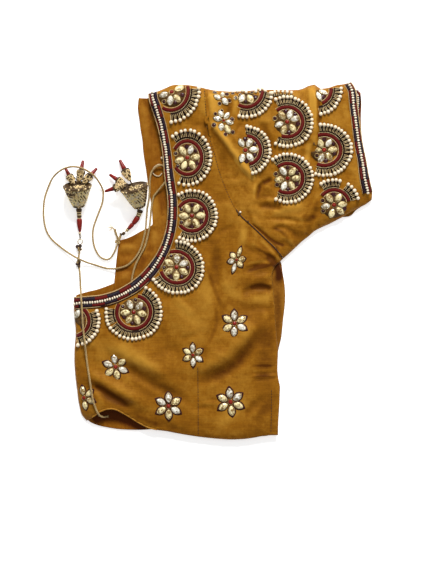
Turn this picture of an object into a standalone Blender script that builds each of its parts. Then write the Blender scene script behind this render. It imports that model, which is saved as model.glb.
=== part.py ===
"""Choli blouse with a deep scooped back, folded in half along the centre back and laid flat.

+X runs from the centre-back fold to the side seam and sleeve, +Y from the hem to the shoulder,
and +Z up from the surface it lies on. Tables are in millimetres; meshes are made in metres.
"""

import math

import bmesh
import bpy
import numpy as np
from mathutils import Matrix, Vector, geometry
from mathutils.bvhtree import BVHTree

MM = 0.001
BASE_CENTRE = (-0.8, 0.0)  # where the laid garment's box is centred, in the tables' frame

# ---------------------------------------------------------------- driving sizes
CLOTH = 1.2  # silk with its lining
LOFT = 10.0  # top of the folded stack away from its edges
FAR_TOP = 1.2  # top of the layer that lies on the table
HIDDEN_TOP = 3.9  # top of the hidden front layers at their rim
SEAM_GAP = 0.4
LAID_GAP = 0.45  # between the cloth and what is sewn on it
EDGE_STEP = 8.5  # spacing of points along an edge
INNER_STEP = 12.0  # spacing of points over a panel
BORDER_WIDTH = 10.5
FAR_BORDER_WIDTH = 4.6  # as much of the far cuff's border as shows past the near cuff
CORD_DIAMETER = 2.0
CORD_STEP = 6.0  # between the points of a cord's centre line

# ---------------------------------------------------------------- cut lines, (x, y)
CENTRE_FOLD = [(-158, -38), (-158, -49.5), (-157, -62), (-156, -75), (-157, -88.5), (-157.5, -102),
               (-157, -114.5), (-156, -125), (-154.5, -136.5), (-153, -148.5), (-150.5, -159),
               (-148, -165.5), (-144.5, -168.5)]
HEM = [(-144.5, -168.5), (-138.5, -165), (-133, -161.5), (-128, -157.5), (-121.5, -156), (-114, -156.5),
       (-107, -160), (-98.5, -165), (-88, -171.5), (-75.5, -177), (-61.5, -179), (-46, -182), (-27, -185),
       (-9, -187), (8.5, -188), (25.5, -187), (40, -184.5), (49.5, -183.5), (57, -183.5)]
SIDE = [(57, -183.5), (57.5, -167), (58.5, -151.5), (59, -135.5), (59, -128.5), (57, -122), (56.5, -110.5),
        (57, -96), (56, -83), (55, -70.5), (54, -57), (53, -41), (51.5, -27.5), (51, -18), (52, -9.5),
        (56, -3.5), (60, 0.5)]
ARMHOLE = [(63, 2.5), (55, 12.5), (43.5, 23.5), (31.5, 35), (24.5, 41.5), (16.5, 49), (8.5, 63), (2.5, 77.5),
           (-3, 92), (-8, 111), (-13.5, 129), (-16, 148), (-17.5, 164.5), (-18.5, 181.5)]
SHOULDER = [(-18.5, 181.5), (-27, 183.5), (-35.5, 185), (-46, 185.5), (-54.5, 185), (-61.5, 182),
            (-70, 178.5), (-78.5, 175.5)]
NECK = [(-78.5, 175.5), (-77, 168), (-74.5, 157.5), (-71, 147), (-67.5, 136.5), (-65, 124.5), (-63, 114),
        (-61.5, 103.5), (-60, 93), (-59, 81.5), (-58.5, 69), (-58, 56.5), (-58.5, 44), (-60, 32.5),
        (-63, 22), (-66.5, 11.5), (-72, 1), (-79.5, -9), (-88, -17.5), (-98.5, -24.5), (-111, -30),
        (-124.5, -34), (-140.5, -37), (-158, -38)]
SLEEVE_TOP = [(-18.5, 181.5), (-11.5, 180), (-2, 179), (8.5, 178.5), (22.5, 179), (36, 180), (54, 180.5),
              (69.5, 180), (82, 181), (87.5, 183.5), (91.5, 186), (94, 187.5), (97, 184), (100, 181.5),
              (106.5, 181.5), (113.5, 183.5), (120, 185.5), (127.5, 186.5), (134.5, 188)]
CUFF = [(134.5, 188), (137, 185), (139, 177), (140, 165.5), (142, 151), (144, 135), (146.5, 119.5),
        (149.5, 106), (152, 92), (154.5, 80.5), (156.5, 72)]
SLEEVE_UNDER = [(156.5, 72), (158, 68.5), (156, 64.5), (150.5, 60), (144, 57), (138, 53.5), (128.5, 48),
                (120, 43.5), (109.5, 38), (98, 33), (91.5, 27.5), (83, 21), (75, 13.5), (68, 7), (63, 2.5)]

# The far back half lies on the table. Its strap and a strip of it show inside the neckline.
FAR_NECK = [(-79, 171.5), (-85, 172.5), (-90, 171.5), (-91, 164.5), (-89.5, 153), (-88, 140.5), (-86, 129),
            (-85, 116.5), (-83, 102.5), (-81, 90), (-79.5, 77.5), (-77, 64), (-75.5, 51), (-75, 40.5),
            (-75.5, 27), (-79.5, 13.5), (-87, 1), (-98.5, -12), (-115.5, -23.5), (-124.5, -27), (-135, -30.5),
            (-145.5, -33), (-155.5, -36)]
FAR_FOLD = [(-155.5, -36), (-156, -49.5), (-155, -62), (-154, -75), (-155, -88.5), (-155.5, -102),
            (-154, -125), (-151, -148.5), (-146, -163), (-142.5, -168.5)]
FAR_HEM = [(-142.5, -168.5), (-135, -172.5), (-122.5, -175.5), (-109, -177.5), (-95.5, -178), (-82.5, -178),
           (-75.5, -177.5), (-61.5, -177.5), (-27, -183.5), (8.5, -186.5), (40, -183), (55, -182)]
FAR_SIDE = [(55, -182), (56, -151.5), (57, -132), (55, -115), (56, -96), (59.5, -81), (61.5, -62),
            (63.5, -44.5), (63.5, -30.5), (63, -18), (61, -6.5), (60, -1)]
FAR_ARMHOLE = [(60, -1), (53, 11), (41.5, 22), (22.5, 40), (6.5, 62), (-5, 92), (-15.5, 129), (-19.5, 164),
               (-20.5, 177.5)]
FAR_SHOULDER = [(-20.5, 177.5), (-35.5, 181.5), (-46, 182), (-54.5, 181.5), (-70, 173.5), (-79, 171.5)]
FAR_SLEEVE = [(-19.5, 177), (8.5, 175.5), (54, 177), (90, 178.5), (128, 182), (138, 181.5), (143, 179),
              (145, 174), (145, 163.5), (144.5, 152), (145, 138), (147, 119), (152, 90), (155, 69),
              (148, 59.5), (140, 55), (140, 50), (136, 48), (128.5, 46.5), (120, 45), (98, 35), (84, 24),
              (68, 10), (61, 1)]

FAR_CUFF = [(142.4, 178.4), (144.4, 174), (144.5, 163.5), (144.0, 149)]

# The near front half shows wrong side up inside the neckline, from its hooked opening edge.
FRONT_EDGE = [(-111, 21.5), (-111.5, 13.5), (-113, 3), (-114, -7.5), (-115, -18), (-115.5, -24.5),
              (-116.5, -41)]
FRONT_UNDER = [(-116.5, -41), (-104, -44), (-86, -34), (-70, -21), (-57, -5), (-49, 13), (-45.5, 32),
               (-47, 45), (-50, 53)]
FRONT_NECK = [(-50, 53), (-58.5, 50), (-65, 46.5), (-71, 42), (-76.5, 37.5), (-80.5, 34), (-87, 31.5),
              (-93, 28), (-100.5, 24.5), (-107, 22), (-111, 21.5)]

# Rim of the hidden front layers and sleeve layers, which share one solid.
HIDDEN_RIM = [(-150, -58), (-150, -75), (-151, -100), (-149, -125), (-143, -138), (-128, -143), (-112, -145),
              (-97, -152), (-84, -164), (-70, -173), (-46, -179), (-9, -184.5), (25.5, -184.5), (54, -181),
              (55.5, -151.5), (57.5, -132), (55.5, -116), (57, -96), (60.5, -81), (62.5, -62), (64.5, -44.5),
              (64.5, -30.5), (62.5, -15), (59, -5), (58, 5), (67, 14), (84, 28), (98, 37), (120, 48), (138, 58),
              (150, 67.5), (148.5, 92), (143.5, 119), (138, 150), (134, 176), (110, 176), (54, 174),
              (8.5, 172.5), (-18, 175), (-46, 178), (-66, 172.5), (-67, 156), (-58, 132), (-53, 105),
              (-51, 80), (-49.5, 56), (-45, 46), (-43.5, 32), (-47, 12), (-55, -6.5), (-69, -23.5),
              (-85.5, -37), (-104, -47), (-122, -49.5), (-143, -50)]
# inset from the rim, height above the table
HIDDEN_STEPS = [(1.2, 1.6), (0.0, 1.9), (0.0, 2.5), (1.6, 2.75), (0.7, 3.0), (0.7, 3.6), (2.4, HIDDEN_TOP)]
HIDDEN_CROWN = 1.3  # how much the hidden layers rise towards their middle

# ---------------------------------------------------------------- how the top layer lies
# cut line, height of its edge, width over which the cloth rises from it
EDGES = [(CENTRE_FOLD, 1.5, 9.0), (SHOULDER, 2.6, 9.0), (SLEEVE_TOP, 1.5, 8.0), (SLEEVE_UNDER, 2.2, 8.0),
         (HEM, 5.8, 7.0), (SIDE, 5.8, 6.0), (NECK, 5.8, 13.0), (CUFF, 5.8, 9.0)]
ROLLED = 4  # the first rows above are folds that meet the table, and relief dies away towards them

# name, height, width to the left and right of the line, fade at its start and end, the crest
FOLDS = [
    ("drape_from_fold", 5.2, 27, 9.5, 0.30, 0.25,
     [(-132, -71), (-114, -85), (-98.5, -97), (-77.5, -111.5), (-56.5, -125), (-37.5, -137)]),
    ("drape_over_hem", 6.0, 11, 8.5, 0.20, 0.35,
     [(-146, -116), (-132, -124), (-117.5, -131.5), (-100.5, -141), (-82.5, -150.5), (-69, -157.5)]),
    ("drape_to_side", 4.8, 27, 9.5, 0.25, 0.30,
     [(-31, -118.5), (-12.5, -110.5), (4.5, -99), (20, -85.5), (33, -67.5), (40, -51)]),
    ("dip_beside_medallions", -1.3, 7, 7, 0.30, 0.30, [(-8, 14), (-9, -10), (-5, -31), (4.5, -44.5)]),
    ("underarm_crease", 3.0, 6, 5.5, 0.35, 0.10, [(20, -25), (38, -20), (50.5, -17)]),
    ("underarm_small_crease", 1.4, 5.5, 4.5, 0.35, 0.15, [(22, 1), (40, -2.5), (54, -1.5)]),
    ("sleeve_head", 4.4, 28, 8.5, 0.20, 0.20,
     [(-22, 158), (-9, 138.5), (2.5, 124.5), (15, 112), (26.5, 97.5), (35, 85)]),
    ("sleeve_pleat", 4.2, 2.6, 17, 0.02, 0.35,
     [(94, 187), (98, 169), (98.5, 148), (97, 129), (93.5, 108)]),
    ("sleeve_dip", -1.6, 5, 5, 0.30, 0.30, [(29, 60), (42, 55.5), (56, 52)]),
    ("sleeve_swell", 1.6, 7, 7, 0.30, 0.30, [(50, 60.5), (69.5, 54.5), (92.5, 60.5)]),
    ("armhole_seam", -1.0, 3.5, 3.5, 0.04, 0.04, ARMHOLE),
    ("side_dip", -1.4, 7, 5, 0.20, 0.35, [(56, -144), (42, -157.5), (30.5, -168.5)]),
    ("back_dart", -0.9, 2.5, 2.5, 0.25, 0.02, [(-27, -110), (-26.5, -146), (-27, -185)]),
]
# centre, radius, height
SWELLS = [((-35, -58), 74, 2.2), ((-122, -157), 27, 4.6), ((75, 120), 60, 1.2)]

# ---------------------------------------------------------------- sewn-on work
# name, centre, reach towards the closed side and across it, direction of the closed side in degrees
NECK_MEDALLIONS = [
    ("neck_medallion_1", (-54.8, 177.2), 30.7, 34.5, -15), ("neck_medallion_2", (-38.4, 108.2), 26.0, 31.7, 0),
    ("neck_medallion_3", (-33.5, 47.3), 27.9, 28.6, 0), ("neck_medallion_4", (-49.7, -6.8), 30.5, 29.1, -32),
    ("neck_medallion_5", (-94.7, -54.1), 30.7, 31.7, -67), ("neck_medallion_6", (-158.3, -63.2), 28.6, 29.6, -90)]
SLEEVE_MEDALLIONS = [
    ("sleeve_medallion_1", (23.8, 178.3), 29.5, 30.0, -5), ("sleeve_medallion_2", (66.4, 145.7), 29.0, 28.0, 0),
    ("sleeve_medallion_3", (22.6, 115.9), 28.0, 27.0, 3), ("sleeve_medallion_4", (67.0, 86.6), 28.0, 27.5, 0),
    ("sleeve_medallion_5", (105.3, 116.2), 31.0, 29.0, 0), ("sleeve_medallion_6", (115.8, 58.5), 28.5, 28.5, 0),
    ("sleeve_medallion_7", (96.3, 180.4), 29.6, 29.6, 0)]
BEYOND_PLEAT = ("sleeve_medallion_5", "sleeve_medallion_7")  # the pleat hides what lies left of it
# name, centre, reach along and across, turn in degrees
SPRIGS = [
    ("sprig_1", (13.3, 0.8), 16.0, 9.0, 70), ("sprig_2", (11.2, -65.8), 14.7, 14.7, 90),
    ("sprig_3", (-32.3, -98.9), 13.0, 12.0, 90), ("sprig_4", (-113.7, -111.5), 14.7, 14.7, 100),
    ("sprig_5", (-58.1, -152.5), 15.2, 15.2, 90), ("sprig_6", (7.0, -148.3), 15.7, 15.7, 95),
    ("sprig_7", (-146.8, -144.1), 13.6, 13.6, 100), ("sprig_8", (-0.8, 144.7), 14.0, 10.5, 120),
    ("sprig_9", (-3.0, 170.5), 11.0, 9.0, 130)]
# share of the reach, points round it, height of the ornament there
MEDALLION_RINGS = [(0.16, 6, 1.0), (0.31, 12, 3.0), (0.46, 18, 0.9), (0.55, 18, 2.6), (0.64, 18, 0.9),
                   (0.84, 18, 1.1), (0.92, 18, 3.4)]
HUB_HEIGHT, RIM_HEIGHT = 2.2, 1.2
PETALS = 6
PETAL_VALLEY = 1.9  # how far the flower's surface drops between two petals
OPEN_REACH, OPEN_FROM = 0.55, 2.05  # on its open side the horseshoe stops at this share, past this angle
CLEAR_OF_EDGE = 2.6  # between an ornament and the edge of its panel

# ---------------------------------------------------------------- tie cords, (x, y, z)
CORD_LONG = [
    (-61.4, 99.7, 5.3), (-66.5, 100.6, 4.9), (-71.5, 98.8, 4.0), (-75.8, 94, 3.0), (-77.8, 86.5, 2.7),
    (-78.2, 78.5, 2.7), (-78.6, 67, 2.6), (-80.5, 55.5, 1.7), (-81.5, 44, 1.6), (-82.5, 33.0, 4.2),
    (-85.5, 19.5, 3.7), (-89.5, 9, 3.7), (-96.0, 0, 3.7), (-103.5, -5.5, 3.5), (-112.5, -8, 3.3),
    (-119, -8.3, 2.0), (-125, -7.5, 1.3), (-135, -4.5, 1.4), (-144.5, -1.5, 2.7), (-152.5, 2.0, 4.7),
    (-161.5, 7, 2.5), (-172, 14.5, 1.3), (-181.5, 23, 1.3), (-187, 32, 1.3), (-189.5, 43, 1.3), (-190, 53.5, 1.3),
    (-189, 65, 1.3), (-185.5, 76.5, 1.5), (-180, 87.5, 4.2), (-171.5, 95, 9.0), (-161.5, 98.5, 12.0),
    (-152, 98, 12.8), (-143.5, 94.5, 12.9), (-135.5, 88.5, 9.9), (-130, 80.5, 3.8), (-127.2, 74, 1.5),
    (-127.0, 70, 1.3), (-128, 61.5, 1.3), (-131, 53, 1.3), (-134.5, 44, 1.3), (-137.5, 34.5, 1.3),
    (-138, 24, 1.3), (-136, 14, 1.3), (-131, 5, 1.4), (-124.5, 1.5, 1.4), (-119.5, 3, 1.9),
    (-115.5, 9, 3.0), (-112.8, 15.5, 3.3), (-110.6, 21.0, 3.2), (-108.4, 26.2, 2.8)]
CORD_SHORT = [
    (-60.2, 84.6, 5.3), (-62.8, 81.6, 5.2), (-65.5, 78.5, 4.8), (-69.5, 73.5, 3.4), (-74.0, 67.5, 2.8),
    (-76.0, 58, 2.6), (-77.2, 46.5, 1.9), (-78.0, 37.5, 4.3), (-80.0, 27, 4.2), (-83.4, 14.5, 4.1),
    (-89.0, 4.2, 4.1), (-93.2, -5.0, 4.6), (-95.8, -14, 4.7), (-97.1, -22.6, 5.1)]
CORD_HEM = [
    (-121.5, -163.5, 2.6), (-125.5, -164.4, 4.4), (-129.3, -163.3, 9.8), (-131.8, -160.2, 13.2),
    (-134.6, -154.0, 13.8), (-137.4, -145, 14.2), (-139.5, -132, 14.4), (-141.2, -120.5, 14.4),
    (-143.2, -108, 12.4), (-144.6, -97, 12.4), (-145.4, -89, 14.8), (-146.4, -80, 14.2), (-147.6, -70, 13.7),
    (-148.4, -57, 13.7), (-149, -48, 13.0), (-149.5, -41, 12.4), (-150.1, -35.6, 8.0), (-150.5, -32, 3.8),
    (-151, -26, 1.6), (-151.4, -18, 1.3), (-152.0, -10, 1.3), (-152.8, -3, 1.3), (-152.9, 3, 1.3),
    (-152.3, 9, 1.3), (-151.5, 16.8, 1.3)]

# ---------------------------------------------------------------- cone tassels on the cords
BELL_LENGTH, BELL_MOUTH_R, BELL_NECK_R = 24.5, 14.9, 3.4
BELL_DISH = 2.6  # how far the beaded mouth is dished
BELL_RESTS = (9.5, 9.5)  # radius and distance where the bell's flank touches the table, as its mouth does
# radius, distance from the narrow end
BELL_PROFILE = [(BELL_NECK_R, 0), (5.6, 1.2), (6.8, 3.5), BELL_RESTS, (11.8, 16), (14.0, 22.3), (BELL_MOUTH_R, BELL_LENGTH)]
STEM_PROFILE = [(1.4, 0), (3.3, 1.6), (2.6, 3.6), (3.1, 5.6), (2.4, 7.5), (2.8, 9.4), (2.2, 11.2), (3.0, 13.0),
                (2.6, 18.5), (1.2, 26.0), (0.8, 27.0), (0.8, 32.1)]
BUD_PROFILE = [(0.8, 2.5), (2.8, 6.5), (4.4, 12.5), (4.1, 14.6), (2.4, 15.0), (2.2, 17.5), (1.5, 25.0)]
# name, narrow end of the bell, direction it opens, ends of the stem (x, y, z),
# buds (x, y, z of the start, direction, fall, length of thread before the bud, size)
TASSELS = [
    ("left_tassel", (-152.5, 56), 93.0, ((-152.4, 55.4, 5.9), (-151.5, 23.7, 1.3)),
     [(-156.6, 78.4, 11.2, 118, -0.33, 0.0, 0.95), (-152.9, 79.2, 9.4, 80, -0.25, 2.0, 1.03),
      (-149.6, 79.1, 10.9, 49, -0.30, 0.5, 1.0)]),
    ("right_tassel", (-88.2, 55.4), 105.0, ((-87.8, 54.1, 5.6), (-108.0, 26.6, 2.5)),
     [(-94.9, 77.4, 9.8, 117, -0.22, 5.2, 1.12), (-98.5, 76.2, 11.3, 146, -0.31, 2.6, 1.0),
      (-100.6, 80.7, 16.7, 198, -0.28, 1.5, 1.0)]),
]
RING_RADIUS, RING_WIRE = 2.6, 0.6


# ---------------------------------------------------------------- curves and distances
def curve(points, step):
    """Catmull-Rom curve through the points, as points an even step apart."""
    knots = np.array(points, float)
    padded = np.vstack([2 * knots[0] - knots[1], knots, 2 * knots[-1] - knots[-2]])
    t = np.linspace(0, 1, 12, endpoint=False)[:, None]
    spans = [
        0.5 * (2 * b + (c - a) * t + (2 * a - 5 * b + 4 * c - d) * t**2 + (3 * b - a - 3 * c + d) * t**3)
        for a, b, c, d in zip(padded, padded[1:], padded[2:], padded[3:])
    ]
    dense = np.vstack([*spans, knots[-1:]])
    along = np.concatenate([[0], np.cumsum(np.linalg.norm(np.diff(dense, axis=0), axis=1))])
    at = np.linspace(0, along[-1], max(1, round(along[-1] / step)) + 1)
    return np.column_stack([np.interp(at, along, dense[:, k]) for k in range(dense.shape[1])])


def closed_loop(*lines, step=EDGE_STEP):
    """One closed outline from cut lines that follow each other."""
    return np.vstack([curve(line, step)[:-1] for line in lines])


def nearest_on(points, line):
    """For each point: its distance left of a polyline, its place along it from 0 to 1, and the spot
    on the line it is nearest, with the line's left-hand normal there."""
    start, end = line[:-1], line[1:]
    run = end - start
    length = np.linalg.norm(run, axis=1)
    away = points[:, None] - start
    t = np.clip((away * run).sum(2) / length**2, 0, 1)
    off = away - t[..., None] * run
    distance = np.linalg.norm(off, axis=2)
    best = distance.argmin(1)
    row = np.arange(len(points))
    run, length_here = run[best], length[best]
    cross = run[:, 0] * away[row, best, 1] - run[:, 1] * away[row, best, 0]
    before = np.concatenate([[0], np.cumsum(length)])
    along = (before[best] + t[row, best] * length_here) / before[-1]
    foot = start[best] + t[row, best][:, None] * run
    normal = np.column_stack([-run[:, 1], run[:, 0]]) / length_here[:, None]
    return np.where(cross >= 0, 1, -1) * distance[row, best], along, foot, normal


def clear_of(points, line, side, distance):
    """The points, with those nearer a line than the distance moved out to it on the given side."""
    signed, _, foot, normal = nearest_on(points, line)
    return np.where((signed * side < distance)[:, None], foot + normal * side * distance, points)


def inside(points, loop):
    """Which points lie inside a closed outline."""
    x, y = points[:, 0:1], points[:, 1:2]
    (x0, y0), (x1, y1) = loop.T, np.roll(loop, -1, axis=0).T
    crossing = (y0 > y) != (y1 > y)
    slope = (x1 - x0) / np.where(y1 == y0, 1e-9, y1 - y0)
    return ((crossing & (x < x0 + (y - y0) * slope)).sum(1) % 2).astype(bool)


def offset(loop, distance):
    """The outline moved inwards, which is to the left of a loop that runs anticlockwise."""
    along = np.roll(loop, -1, axis=0) - np.roll(loop, 1, axis=0)
    along /= np.linalg.norm(along, axis=1)[:, None]
    return loop + distance * np.column_stack([-along[:, 1], along[:, 0]])


def smooth(t):
    t = np.clip(t, 0, 1)
    return t * t * (3 - 2 * t)


# ---------------------------------------------------------------- heights of the layers
EDGE_LINES = [(curve(line, 4), height, width) for line, height, width in EDGES]
FOLD_LINES = [(curve(row[6], 4), *row[1:6]) for row in FOLDS]


def top_height(points):
    """Height of the top layer's outer face above the table."""
    level = np.full(len(points), LOFT)
    firm = np.ones(len(points))
    for i, (line, height, width) in enumerate(EDGE_LINES):
        near = np.clip(abs(nearest_on(points, line)[0]) / width, 0, 1)
        rise = np.sqrt(1 - (1 - near) ** 2)
        level = np.minimum(level, height + (LOFT - height) * rise)
        if i < ROLLED:
            firm = np.minimum(firm, rise)
    relief = np.zeros(len(points))
    for line, height, left, right, fade_in, fade_out in FOLD_LINES:
        signed, along, *_ = nearest_on(points, line)
        across = np.clip(abs(signed) / np.where(signed > 0, left, right), 0, 1)
        ends = smooth(along / fade_in) * smooth((1 - along) / fade_out)
        relief += height * (1 - across**2) ** 2 * ends
    for centre, radius, height in SWELLS:
        across = np.clip(np.linalg.norm(points - centre, axis=1) / radius, 0, 1)
        relief += height * (1 - across**2) ** 2
    return level + relief * firm


def front_height(points):
    """The front half rests on the table, and steps up onto the far back half."""
    outside = -nearest_on(points, curve(FAR_NECK, 4))[0]
    return 3.3 - 1.85 * smooth((outside - 0.6) / 8.0)


def flat_height(level):
    return lambda points: np.full(len(points), level)


# ---------------------------------------------------------------- meshes
def link(obj, colour, roughness, metallic=0.0):
    material = bpy.data.materials.new(obj.name + "_finish")
    material.use_nodes = True
    shader = material.node_tree.nodes["Principled BSDF"]
    shader.inputs["Base Color"].default_value = (*colour, 1)
    shader.inputs["Roughness"].default_value = roughness
    shader.inputs["Metallic"].default_value = metallic
    obj.data.materials.append(material)
    bpy.data.collections["choli_blouse"].objects.link(obj)
    return obj


def shaded(mesh, angle=50):
    mesh.shade_smooth()
    mesh.set_sharp_from_angle(angle=math.radians(angle))
    return mesh


def triangles(loop, inner):
    """The outline and the points inside it, joined up as triangles that face up."""
    points = [Vector(p) for p in np.vstack([loop, inner])]
    ring = [(i, (i + 1) % len(loop)) for i in range(len(loop))]
    flat, _, faces, *_ = geometry.delaunay_2d_cdt(points, ring, [], 1, 1e-5)
    flat = np.array(flat)
    turned = []
    for face in faces:
        a, b, c = flat[list(face)]
        up = (b[0] - a[0]) * (c[1] - a[1]) - (b[1] - a[1]) * (c[0] - a[0]) > 0
        turned.append(list(face) if up else list(face)[::-1])
    return flat, turned


def panel_points(loop, step, rows, lines=()):
    """Points over a panel: rows beside its edge, points along its folds, and an even field between."""
    kept = np.empty((0, 2))
    fields = [(offset(loop, row), row * 0.9, min(0.45 * EDGE_STEP, 1.6 * row)) for row in rows]
    for line in lines:
        fields.append((line, 3.5, 3.6))
    low, high = loop.min(0), loop.max(0)
    field = [
        (x + (row % 2) * step / 2, y)
        for row, y in enumerate(np.arange(low[1], high[1], step * 0.866))
        for x in np.arange(low[0], high[0], step)
    ]
    fields.append((np.array(field), 0.62 * step, 0.62 * step))
    edge = np.vstack([loop, loop[:1]])
    for points, from_edge, apart in fields:
        points = points[inside(points, loop)]
        points = points[abs(nearest_on(points, edge)[0]) > from_edge]
        for p in points:
            if not len(kept) or np.linalg.norm(kept - p, axis=1).min() > apart:
                kept = np.vstack([kept, p])
    return kept


def fold_guides():
    """Lines of points along each fold's crest and foot, so that the panels keep its shape."""
    guides = []
    for line, _, left, right, _, _ in FOLD_LINES:
        coarse = curve(line, 9)
        along = np.gradient(coarse, axis=0)
        along /= np.linalg.norm(along, axis=1)[:, None]
        normal = np.column_stack([-along[:, 1], along[:, 0]])
        guides.append(coarse)
        guides.extend(coarse + normal * reach for reach in (left, -right) if abs(reach) < 12)
    return guides


def cloth(name, loop, inner, height, colour, thickness=CLOTH):
    """A panel of cloth: its outer face at height(points), thickened inwards."""
    flat, faces = triangles(loop, inner)
    mesh = bpy.data.meshes.new(name)
    points = np.column_stack([flat, height(flat)]) * MM
    mesh.from_pydata(points.tolist(), [], faces)
    obj = link(bpy.data.objects.new(name, shaded(mesh)), colour, 0.55)
    wall = obj.modifiers.new("cloth", "SOLIDIFY")
    wall.thickness = thickness * MM
    wall.offset = -1
    wall.use_even_offset = True
    wall.thickness_clamp = 0.5
    return obj


def loft(name, rings, colour, roughness):
    """Rings of points joined in order and capped at both ends."""
    shape = bmesh.new()
    rows = [[shape.verts.new(Vector(p) * MM) for p in ring] for ring in rings]
    for a, b in zip(rows, rows[1:]):
        for i in range(len(a)):
            j = (i + 1) % len(a)
            shape.faces.new((a[i], a[j], b[j]))
            shape.faces.new((a[i], b[j], b[i]))
    shape.faces.new(rows[0][::-1])
    shape.faces.new(rows[-1])
    bmesh.ops.recalc_face_normals(shape, faces=shape.faces)
    mesh = bpy.data.meshes.new(name)
    shape.to_mesh(mesh)
    shape.free()
    return link(bpy.data.objects.new(name, shaded(mesh)), colour, roughness)


def surface_of(*objects):
    """A function that gives the objects' highest surface at each (x, y) point."""
    graph = bpy.context.evaluated_depsgraph_get()
    trees = []
    for obj in objects:
        evaluated = obj.evaluated_get(graph)
        shape = bmesh.new()
        shape.from_mesh(evaluated.to_mesh())
        shape.transform(obj.matrix_world)
        trees.append(BVHTree.FromBMesh(shape))
        shape.free()
        evaluated.to_mesh_clear()

    def height(points):
        found = []
        for x, y in points:
            hits = [tree.ray_cast(Vector((x * MM, y * MM, 0.1)), Vector((0, 0, -1)))[0] for tree in trees]
            found.append(max([0.0, *(hit.z / MM for hit in hits if hit is not None)]))
        return np.array(found)

    return height


def resting(flat, faces, height):
    """Heights of a faceted underside's points, so that no part of it dips into the cloth."""
    steps = 5
    weights = np.array([(i, j, steps - i - j) for i in range(steps + 1) for j in range(steps + 1 - i)]) / steps
    samples = [height(weights @ flat[face]) + 0.75 * LAID_GAP for face in faces]
    level = height(flat) + LAID_GAP
    for _ in range(12):
        for face, wanted in zip(faces, samples):
            short = wanted - weights @ level[face]
            worst = short.argmax()
            if short[worst] > 0:
                level[face] += short[worst] * weights[worst] / (weights[worst] ** 2).sum()
    return level


def sewn_on(name, outline, raised, under, relief, height, colour, roughness=0.35):
    """An ornament on the cloth, with its own inner points above and a plainer underside."""
    flat, faces = triangles(outline, under)
    level = resting(flat, faces, height)
    tree = BVHTree.FromPolygons(np.column_stack([flat, level]).tolist(), faces)
    top, top_faces = triangles(outline, raised)
    below = []
    for x, y in top:
        hit = tree.ray_cast(Vector((x, y, 99)), Vector((0, 0, -1)))[0]
        below.append(hit.z if hit is not None else level[np.linalg.norm(flat - (x, y), axis=1).argmin()])
    points = np.vstack([np.column_stack([flat, level]), np.column_stack([top, np.array(below) + relief(top)])])

    def rim(found, first):
        return [first + int(np.linalg.norm(found - p, axis=1).argmin()) for p in outline]

    low, high = rim(flat, 0), rim(top, len(flat))
    sides = [(low[i - 1], low[i], high[i], high[i - 1]) for i in range(len(outline))]
    shape = [face[::-1] for face in faces] + [[len(flat) + i for i in face] for face in top_faces] + sides
    mesh = bpy.data.meshes.new(name)
    mesh.from_pydata((points * MM).tolist(), [], shape)
    return link(bpy.data.objects.new(name, shaded(mesh, 70)), colour, roughness)


# ---------------------------------------------------------------- the pieces
SILK, LINING, HIDDEN = (0.32, 0.14, 0.02), (0.26, 0.10, 0.015), (0.28, 0.12, 0.02)
MAROON, GOLD, KUNDAN, RED = (0.16, 0.01, 0.02), (0.55, 0.38, 0.14), (0.75, 0.66, 0.42), (0.4, 0.03, 0.02)


def make_garment():
    guides = fold_guides()
    body = closed_loop(CENTRE_FOLD, HEM, SIDE, ARMHOLE, SHOULDER, NECK)
    seam = abs(nearest_on(body, curve(ARMHOLE, 2))[0]) < 0.01
    body[seam] = offset(body, SEAM_GAP / 2)[seam]
    back = cloth("back_panel", body, panel_points(body, INNER_STEP, (0.9, 3.2), guides), top_height, SILK)

    arm = closed_loop(ARMHOLE, SLEEVE_TOP, CUFF, SLEEVE_UNDER)[::-1]
    seam = abs(nearest_on(arm, curve(ARMHOLE, 2))[0]) < 0.01
    arm[seam] = offset(arm, SEAM_GAP / 2)[seam]
    sleeve = cloth("sleeve", arm, panel_points(arm, INNER_STEP, (0.9, 3.2), guides), top_height, SILK)

    front = closed_loop(FRONT_EDGE, FRONT_UNDER, FRONT_NECK)
    step_line = offset(curve(FAR_NECK, 8), -8.8)
    front_points = panel_points(front, 14, (), (curve(FAR_NECK, 8), step_line))
    cloth("front_half", front, front_points, front_height, LINING)

    far = closed_loop(FAR_NECK, FAR_FOLD, FAR_HEM, FAR_SIDE, FAR_ARMHOLE, FAR_SHOULDER, step=11)
    cloth("far_back_half", far, np.empty((0, 2)), flat_height(FAR_TOP), LINING, FAR_TOP)
    far_sleeve = closed_loop(FAR_SLEEVE, [FAR_SLEEVE[-1], *FAR_ARMHOLE[1:-1], FAR_SLEEVE[0]], step=11)[::-1]
    far_seam = curve([FAR_SLEEVE[-1], *FAR_ARMHOLE[1:-1], FAR_SLEEVE[0]], 2)
    seam = abs(nearest_on(far_sleeve, far_seam)[0]) < 0.01
    far_sleeve[seam] = offset(far_sleeve, 1.0)[seam]
    under = cloth("far_sleeve", far_sleeve, np.empty((0, 2)), flat_height(FAR_TOP), SILK, FAR_TOP)
    return (body, back), (arm, sleeve), under


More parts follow.
